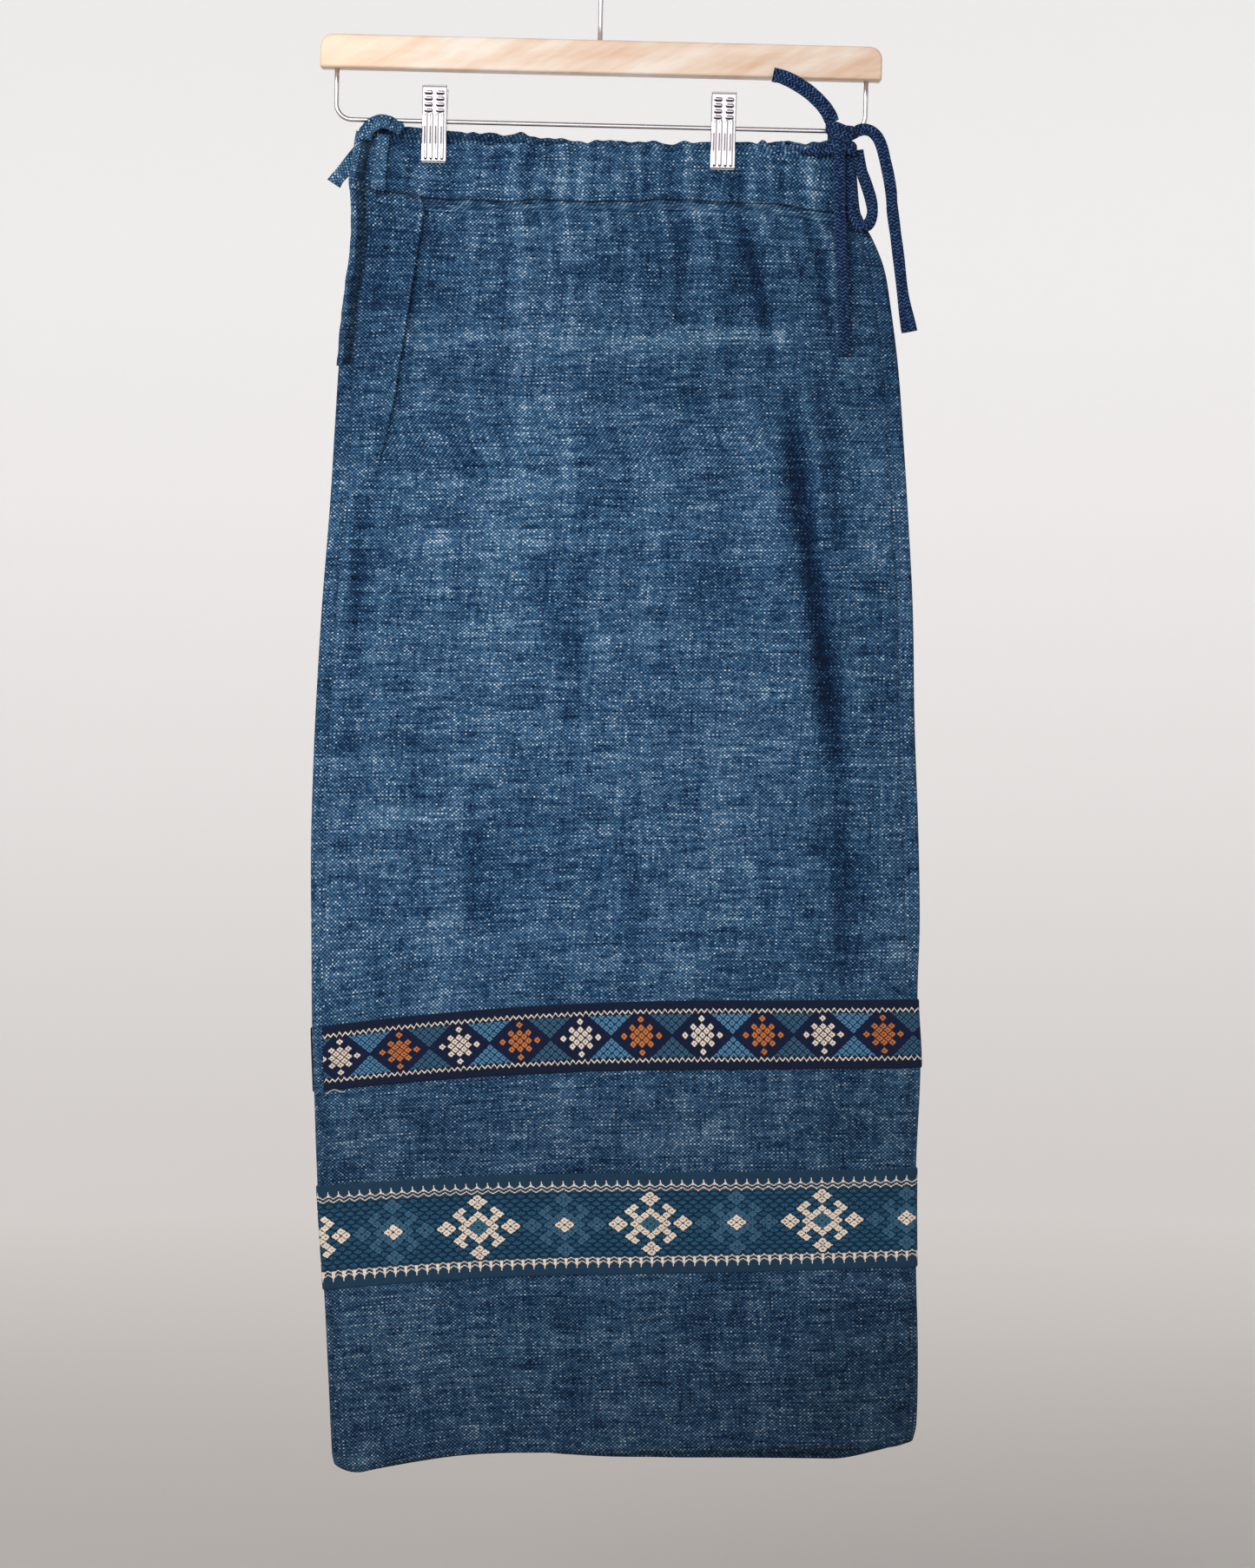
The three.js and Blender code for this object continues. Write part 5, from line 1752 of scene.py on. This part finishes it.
@dataclass
class ClipHanger:
    """Wooden bar with a wire hook, a wire frame and two pressed clips. Sizes in millimetres."""

    tilt: float = math.radians(1.4)
    wire: float = 1.6
    hook_inner: float = 19.0
    stem_bend: float = -52.0
    bar_left: float = -192.6
    bar_right: float = 194.9
    bar_top: float = -88.9
    bar_bottom: float = -112.1
    bar_thick: float = 12.0
    bar_corner: float = 9.0
    frame_left: float = -181.0
    frame_right: float = 184.5
    frame_bottom: float = -147.0
    frame_corner: float = 11.0
    clip_width: float = 17.3
    clip_height: float = 52.5
    clip_above: float = 23.5
    clip_places: tuple = (("left", -112.8), ("right", 86.6))
    jaw: float = 2.4

    def tilted(self, shell: Shell) -> Shell:
        """Turn a shell about the hook by the hanger's slope.

        Args:
            shell: The shell, which is changed.

        Returns:
            The same shell.
        """
        cos, sin = math.cos(self.tilt), math.sin(self.tilt)
        p = np.asarray(shell.points, float)
        shell.points = np.stack([p[:, 0] * cos + p[:, 2] * sin, p[:, 1], p[:, 2] * cos - p[:, 0] * sin], 1)
        return shell

    def arc(self, x: float, z: float, radius: float, start: float, end: float, count: int) -> list:
        """Return points on an arc in the plane of the hanger, from one angle to another."""
        angles = np.radians(np.linspace(start, end, count + 1))
        return [(x + radius * math.cos(a), 0.0, z + radius * math.sin(a)) for a in angles]

    def wire_shell(self, route: list, round_end: bool = False) -> Shell:
        """Draw round wire along a route.

        Args:
            route: Points of the route.
            round_end: Shrink the last few sections to a dome.

        Returns:
            The shell.
        """
        points = np.array(route, float)
        size = np.full(len(points), 2 * self.wire)
        if round_end:
            ends = np.linspace(0, math.pi / 2, 5)[1:-1]
            way = points[-1] - points[-2]
            way = way / np.linalg.norm(way)
            points = np.vstack([points, points[-1] + np.outer(np.sin(ends) * self.wire, way)])
            size = np.concatenate([size, np.cos(ends) * 2 * self.wire])
        shell = outward(sweep(points, size, size, np.array([0.0, -1.0, 0.0]), 20, 1.0))
        # Painted reflection: the wire's sides, which face sideways, are darkened as if they reflect the dark of the
        # room; the end caps a little.
        side = np.abs(np.cos(np.arange(20) / 20 * 2 * math.pi))
        painted_shadow_and_reflection = np.tile(0.85 * smooth(side, 0.6, 0.95), len(points))
        shell.values = {"painted_shadow_and_reflection": np.concatenate([painted_shadow_and_reflection, [0.3, 0.3]])}
        return shell

    def wires(self) -> None:
        """Bend the hook and the frame."""
        radius = self.hook_inner + self.wire
        stem = [(0, 0, self.bar_top - 3), (0, 0, -75), (0, 0, -62), (0.2, 0, -57), (1.2, 0, self.stem_bend),
                (2.9, 0, -48.2), (5, 0, self.stem_bend + 7), (8, 0, -41)]
        stem += self.arc(0, -self.hook_inner, radius, -56, 205, 60)
        add_piece("hook_wire", self.tilted(self.wire_shell(stem, True)), PLATE, ["hanger_hook"])
        low, corner = self.frame_bottom + self.frame_corner, self.frame_corner
        top = self.bar_bottom + 4
        route = [(self.frame_left, 0, top), (self.frame_left, 0, -125)]
        route += self.arc(self.frame_left + corner, low, corner, 180, 270, 14)
        route += self.arc(self.frame_right - corner, low, corner, 270, 360, 14)
        route += [(self.frame_right, 0, -125), (self.frame_right, 0, top)]
        add_piece("frame_wire", self.tilted(self.wire_shell(route)), PLATE, ["hanger_wire"])

    def bar(self) -> None:
        """Saw and sand the bar: a flat board with rounded top corners and eased edges."""
        low, corner = self.bar_bottom, self.bar_corner
        outline = [(self.bar_left + 1.2, low), (self.bar_right - 1.2, low)]
        outline += [(self.bar_right, low + 1.2)]
        outline += [(p[0], p[2]) for p in self.arc(self.bar_right - corner, self.bar_top - corner, corner, 0, 90, 10)]
        outline += [(p[0], p[2]) for p in self.arc(self.bar_left + corner, self.bar_top - corner, corner, 90, 180, 10)]
        outline += [(self.bar_left, low + 1.2)]
        half = self.bar_thick / 2
        mesh = bmesh.new()
        ring = [mesh.verts.new((x, -half, z)) for x, z in outline]
        face = mesh.faces.new(ring)
        moved = bmesh.ops.extrude_face_region(mesh, geom=[face])["geom"]
        for vert in (g for g in moved if isinstance(g, bmesh.types.BMVert)):
            vert.co.y = half
        rims = [e for e in mesh.edges if all(abs(abs(v.co.y) - half) < 1e-6 for v in e.verts)
                and abs(e.verts[0].co.y - e.verts[1].co.y) < 1e-6]
        bmesh.ops.bevel(mesh, geom=rims, offset=1.6, segments=4, profile=0.5, affect="EDGES")
        bmesh.ops.recalc_face_normals(mesh, faces=mesh.faces)
        points = np.array([v.co[:] for v in mesh.verts])
        mesh.verts.index_update()
        faces = [tuple(v.index for v in f.verts) for f in mesh.faces]
        mesh.free()
        piece = add_piece("wooden_bar", self.tilted(Shell(points, faces)), MAPLE, ["hanger_bar"])
        piece.data.shade_smooth()
        piece.data.set_sharp_from_angle(angle=math.radians(40))

    def plate_profile(self, z: Points) -> Points:
        """Return how far in front of the wire the clip's face stands at a height."""
        heights = [self.clip_above - self.clip_height, -27.6, -16, -4, 3, self.clip_above - 1.5, self.clip_above]
        return np.interp(z, heights, [self.jaw + 1.1, self.jaw, self.jaw + 0.6, 5.1, 5.4, 8.6, 9.4])

    def pressed(self, x: Points, z: Points) -> Points:
        """Return the relief that is pressed in the clip's face: pills above, ribs below.

        Args:
            x: Distance across the plate.
            z: Height from the wire.

        Returns:
            How far it stands out.
        """
        relief = np.zeros(np.broadcast(x, z).shape)
        for column in (-4.0, 4.0):
            for row in range(4):
                centre = self.clip_above - 5 - 4.0 * row
                away = np.hypot(np.maximum(np.abs(x - column) - 1.6, 0), z - centre)
                relief += 0.65 * (1 - smooth(away, 0.6, 1.25))
        top, bottom = self.clip_above - 19.6, self.clip_above - self.clip_height + 3.4
        for rib in (-5.7, -1.9, 1.9, 5.7):
            away = np.hypot(x - rib, np.maximum(np.maximum(z - top, bottom - z), 0))
            relief += 0.6 * (1 - smooth(away, 0.45, 1.15))
        return relief

    def plate(self) -> Shell:
        """Press one clip plate: face, relief, side flanges and lip.

        Returns:
            The front plate, with the wire at the origin.
        """
        half = self.clip_width / 2
        flange = np.array([3.4, 2.4, 1.3, 0.5])
        x_flat = np.linspace(-half + 0.6, half - 0.6, 42)
        z = np.linspace(self.clip_above, self.clip_above - self.clip_height, 106)[:, None]
        reach = smooth(z, -18, -2)
        side_x = half - np.array([0.0, 0.0, 0.05, 0.25])
        columns = np.concatenate([-side_x, x_flat, side_x[::-1]])
        back = np.concatenate([flange, np.zeros(42), flange[::-1]])[None, :]
        relief = self.pressed(columns[None, :], z) * (back == 0)
        # Painted shadow below each pill and a little above it, and painted reflection on the ribs' left edges and on
        # the flanges.
        down, right = np.gradient(relief)
        painted_shadow_and_reflection = np.clip(-4.5 * down, 0, 1) + np.clip(1.2 * down, 0, 0.35) + np.clip(2.6 * right, 0, 0.75)
        painted_shadow_and_reflection = np.clip(np.where(back > 0, 0.7, painted_shadow_and_reflection), 0, 1)
        depth = self.plate_profile(z) + relief
        depth = depth - back * (0.12 + 0.88 * reach)
        grid = np.stack(np.broadcast_arrays(columns[None, :], -depth, z), -1)
        inner = grid.copy()
        sheet = 0.8
        is_side = (back > 0) * np.sign(columns)[None, :]
        inner[..., 0] -= is_side * sheet
        inner[..., 1] += np.where(back > 0, 0.15, sheet)
        uv = np.zeros(grid.shape[:2] + (2,))
        shell = outward(closed_shell(grid, inner, uv))
        # The inner faces take a little painted shade.
        shell.values = {"painted_shadow_and_reflection": np.concatenate([painted_shadow_and_reflection.ravel(), np.full(painted_shadow_and_reflection.size, 0.3)])}
        return shell

    def spring_tree(self) -> bpy.types.NodeTree:
        """Build the tree that winds a spring round the frame's wire.

        Returns:
            The tree, with inputs for its sizes.
        """
        tree, given = new_tree("wound spring", {
            "Radius": "Float", "Wire": "Float", "Length": "Float", "Centre": "Vector", "Finish": "Material",
        })
        coil = node(tree, "GeometryNodeCurveSpiral", {
            "Resolution": 20, "Rotations": 6.5, "Start Radius": given["Radius"],
            "End Radius": given["Radius"], "Height": given["Length"],
        })
        half = node(tree, "ShaderNodeMath", {0: given["Length"], 1: -0.5}, operation="MULTIPLY")
        start = node(tree, "ShaderNodeCombineXYZ", {2: half.outputs[0]})
        middle = node(tree, "GeometryNodeTransform", {"Geometry": coil.outputs[0], "Translation": start.outputs[0]})
        turned = node(tree, "GeometryNodeTransform", {
            "Geometry": middle.outputs[0], "Rotation": (0, math.pi / 2 + self.tilt, 0),
            "Translation": given["Centre"],
        })
        section = node(tree, "GeometryNodeCurvePrimitiveCircle", {"Resolution": 8, "Radius": given["Wire"]})
        wound = node(tree, "GeometryNodeCurveToMesh", {
            "Curve": turned.outputs[0], "Profile Curve": section.outputs[0], "Fill Caps": True,
        })
        close_tree(tree, wound.outputs[0], given["Finish"])
        return tree

    def clips(self) -> None:
        """Make the front and back plate and the spring of both clips."""
        tree = self.spring_tree()
        cos, sin = math.cos(self.tilt), math.sin(self.tilt)
        for label, place in self.clip_places:
            for side in Side:
                shell = self.plate()
                if side is Side.BACK:
                    shell.points = shell.points * np.array([-1, -1, 1])
                shell.points = shell.points + np.array([place, 0, self.frame_bottom])
                name = f"clip_{label}_{side.value}"
                shell.uv = None
                add_piece(f"pressed_{name}", self.tilted(shell), PLATE, [name])
            centre = (place * cos + self.frame_bottom * sin, 0, self.frame_bottom * cos - place * sin)
            piece = grown(f"clip_{label}_coil", np.zeros((1, 3)), tree, {
                "Radius": 2.7 * MM, "Wire": 0.5 * MM, "Length": 8.6 * MM,
                "Centre": tuple(v * MM for v in centre), "Finish": PLATE.material,
            })
            settle(piece, [f"clip_{label}_spring"])

    def build(self) -> None:
        """Make the whole hanger."""
        self.wires()
        self.bar()
        self.clips()


# Pieces grown by Geometry Nodes


def grown(name: str, line: Points, tree: bpy.types.NodeTree, inputs: dict) -> bpy.types.Object:
    """Run a tree on a line of points and keep its result as a plain mesh.

    Args:
        name: Piece name.
        line: Points of the line, in millimetres.
        tree: The tree to run.
        inputs: Values of the tree's inputs, by name.

    Returns:
        The new object, with no modifier.
    """
    mesh = bpy.data.meshes.new(name)
    count = len(line)
    mesh.from_pydata((line * MM).tolist(), [(i, i + 1) for i in range(count - 1)], [])
    piece = bpy.data.objects.new(name, mesh)
    bpy.context.collection.objects.link(piece)
    modifier = piece.modifiers.new("grow", "NODES")
    modifier.node_group = tree
    keys = {item.name: item.identifier for item in tree.interface.items_tree if item.in_out == "INPUT"}
    for label, value in inputs.items():
        modifier[keys[label]] = value
    graph = bpy.context.evaluated_depsgraph_get()
    piece.data = bpy.data.meshes.new_from_object(piece.evaluated_get(graph))
    piece.modifiers.clear()
    piece.data.name = name
    bpy.data.meshes.remove(mesh)
    return piece


@dataclass
class HandSewing:
    """Rows of running stitches along the casing, the side seams, the hem and the placket. Sizes in millimetres."""

    length: float = 2.4
    pitch: float = 4.2
    thick: float = 0.5
    loose: tuple = (-191.0, -177.5, -799.0)
    seed: int = 7

    def stitch_tree(self) -> bpy.types.NodeTree:
        """Build the tree that sets a stitch at each step of a line.

        Returns:
            The tree, with inputs for its sizes and its seed.
        """
        tree, given = new_tree("running stitch", {
            "Pitch": "Float", "Length": "Float", "Thick": "Float", "Seed": "Int", "Finish": "Material",
        })
        line = node(tree, "GeometryNodeMeshToCurve", {0: given["Geometry"]})
        steps = node(tree, "GeometryNodeResampleCurve", {"Curve": line.outputs[0], "Length": given["Pitch"]},
                     mode="LENGTH")
        size = node(tree, "ShaderNodeCombineXYZ", {0: given["Length"], 1: given["Thick"], 2: given["Thick"]})
        bead = node(tree, "GeometryNodeMeshUVSphere", {"Segments": 6, "Rings": 5, "Radius": 0.5})
        thread = node(tree, "GeometryNodeTransform", {"Geometry": bead.outputs[0], "Scale": size.outputs[0]})
        tangent = node(tree, "GeometryNodeInputTangent")
        way = node(tree, "FunctionNodeAlignRotationToVector", {"Vector": tangent.outputs[0]}, axis="X")
        swing = node(tree, "FunctionNodeRandomValue", {0: (0, 0, -0.12), 1: (0, 0, 0.12), "Seed": given["Seed"]},
                     data_type="FLOAT_VECTOR")
        turned = node(tree, "FunctionNodeRotateRotation", {0: way.outputs[0]}, rotation_space="LOCAL")
        tree.links.new(swing.outputs[0], turned.inputs[1])
        grow = node(tree, "FunctionNodeRandomValue", {2: 0.8, 3: 1.15, "Seed": given["Seed"]}, data_type="FLOAT")
        rows = node(tree, "GeometryNodeInstanceOnPoints", {
            "Points": steps.outputs[0], "Instance": thread.outputs[0], "Rotation": turned.outputs[0],
        })
        tree.links.new(grow.outputs[1], rows.inputs["Scale"])
        close_tree(tree, rows.outputs[0], given["Finish"])
        return tree

    def lines(self) -> dict[str, Points]:
        """Return the rows of stitches, by name, as points just above the cloth.

        Returns:
            Points of each row.
        """
        across = np.linspace(0.03, 0.97, 300)
        back = 2 + across
        down = np.linspace(TUBE.seam_z - 2, TUBE.hem + 3, 420)
        left, right = TUBE.seam_places(down)
        round_tube = np.linspace(0.02, 3.98, 900)
        casing_z = np.full_like(across, TUBE.seam_z + 1.6)
        hem_z = np.full_like(round_tube, TUBE.hem + 13.5)
        top = np.linspace(TUBE.front_waist - 4, TUBE.placket_end + 3, 120)
        top_left, _ = TUBE.seam_places(top)
        return {
            "casing_stitches_front": TUBE.lifted(across, casing_z, 0.62),
            "casing_stitches_back": TUBE.lifted(back, casing_z, 0.62),
            "side_stitches_left": TUBE.lifted(left - 0.006, down, 0.05),
            "side_stitches_right": TUBE.lifted(right + 0.006, down, 0.05),
            "hem_stitches": TUBE.lifted(round_tube, hem_z, 0.0),
            "placket_stitches": TUBE.lifted(top_left - 0.009, top, 1.45),
        }

    def build(self) -> None:
        """Sew every row."""
        tree = self.stitch_tree()
        for number, (name, line) in enumerate(self.lines().items()):
            piece = grown(name, line, tree, {
                "Pitch": self.pitch * MM, "Length": self.length * MM, "Thick": self.thick * MM,
                "Seed": self.seed + number, "Finish": THREAD.material,
            })
            settle(piece)
        # One undyed end lies loose at the left edge, just under the upper band.
        left, right, height = self.loose
        x = np.linspace(left, right, 24)
        z = height + 1.1 * np.sin(x * 0.5)
        line = TUBE.lifted(TUBE.place_of(x, z), z, 0.9)
        shell = outward(sweep(line, np.full_like(x, 0.7), np.full_like(x, 0.5), np.array([0.0, -1.0, 0.0]), 8, 1.0))
        add_piece("loose_thread", shell, PALE_THREAD)


# Studio


@dataclass(frozen=True)
class Studio:
    """Camera, soft lights and a pale round backdrop. Lengths in metres."""

    view_height: float = 1.0836
    distance: float = 2.3
    aim: tuple = (0.0168, 0.0, -0.602)
    sensor: float = 36.0
    floor: float = -1.32
    stage_radius: float = 4.6
    sweep: float = 1.3
    wall: float = 3.4

    def camera(self) -> None:
        """Set the camera level with the middle of the view, square to the skirt."""
        data = bpy.data.cameras.new("camera")
        data.sensor_width = self.sensor
        data.lens = self.sensor * self.distance / self.view_height
        camera = bpy.data.objects.new("camera", data)
        camera.location = (self.aim[0], -self.distance, self.aim[2])
        camera.rotation_euler = (math.pi / 2, 0, 0)
        bpy.context.collection.objects.link(camera)
        bpy.context.scene.camera = camera

    def lamp(self, name: str, place: tuple, aim: tuple, size: float, power: float, colour: str) -> None:
        """Hang one soft square light.

        Args:
            name: Name of the light.
            place: Where it hangs.
            aim: Point that it faces.
            size: Length of its side.
            power: Power in watts.
            colour: Colour as hex.
        """
        data = bpy.data.lights.new(name, "AREA")
        data.shape, data.size, data.energy = "SQUARE", size, power
        data.color = linear(colour)[:3]
        lamp = bpy.data.objects.new(name, data)
        lamp.visible_camera = False
        lamp.location = place
        lamp.rotation_euler = (Vector(aim) - Vector(place)).to_track_quat("-Z", "Y").to_euler()
        bpy.context.collection.objects.link(lamp)

    def backdrop(self) -> None:
        """Turn a round floor that sweeps up into a low wall."""
        flat, bend = self.stage_radius - self.sweep, self.sweep
        profile = [(0.0, 0.0), (1.2, 0.0), (2.4, 0.0), (flat, 0.0)]
        profile += [(flat + bend * math.sin(a), bend - bend * math.cos(a)) for a in np.linspace(0, math.pi / 2, 12)[1:]]
        profile += [(self.stage_radius, self.wall)]
        sides = 64
        points, faces = [], []
        for radius, height in profile:
            for s in range(sides):
                angle = 2 * math.pi * s / sides
                points.append((radius * math.cos(angle), radius * math.sin(angle), self.floor + height))
        for r in range(len(profile) - 1):
            for s in range(sides):
                e = (s + 1) % sides
                faces.append((r * sides + s, (r + 1) * sides + s, (r + 1) * sides + e, r * sides + e))
        mesh = bpy.data.meshes.new("backdrop")
        mesh.from_pydata(points, [], faces)
        mesh.polygons.foreach_set("use_smooth", np.ones(len(faces), bool))
        mesh.materials.append(PAPER.material)
        backdrop = bpy.data.objects.new("backdrop", mesh)
        bpy.context.collection.objects.link(backdrop)

    def build(self) -> None:
        """Set up the camera, the lights and the backdrop."""
        self.camera()
        bpy.context.scene.view_settings.view_transform = "Standard"
        self.lamp("key", (-0.9, -1.35, 0.45), (0, 0, 0.0), 1.2, 22, "fffaf4")
        self.lamp("front", (0.1, -2.7, -0.1), (0, 0, -0.4), 2.2, 15, "fafbff")
        self.lamp("rim", (0.3, 2.3, 0.9), (0, 0, -0.5), 1.6, 14, "ffffff")
        world = bpy.data.worlds.new("studio air")
        world.use_nodes = True
        world.node_tree.nodes["Background"].inputs[0].default_value = linear("f3f3f4")
        world.node_tree.nodes["Background"].inputs[1].default_value = 0.2
        bpy.context.scene.world = world
        self.backdrop()


def main() -> None:
    """Build every piece in order."""
    logging.basicConfig(level=logging.INFO, format="%(name)s: %(message)s")
    Studio().build()
    Drawstring().build()
    SkirtCloth().build()
    BrocadeBand("upper", -750.6, -797.9, StarChart(), UPPER_BROCADE, False).build()
    BrocadeBand("lower", -866.9, -935.3, CrossChart(), LOWER_BROCADE, True).build()
    Bindings().build()
    ClipHanger().build()
    HandSewing().build()
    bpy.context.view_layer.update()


if __name__ == "__main__":
    main()
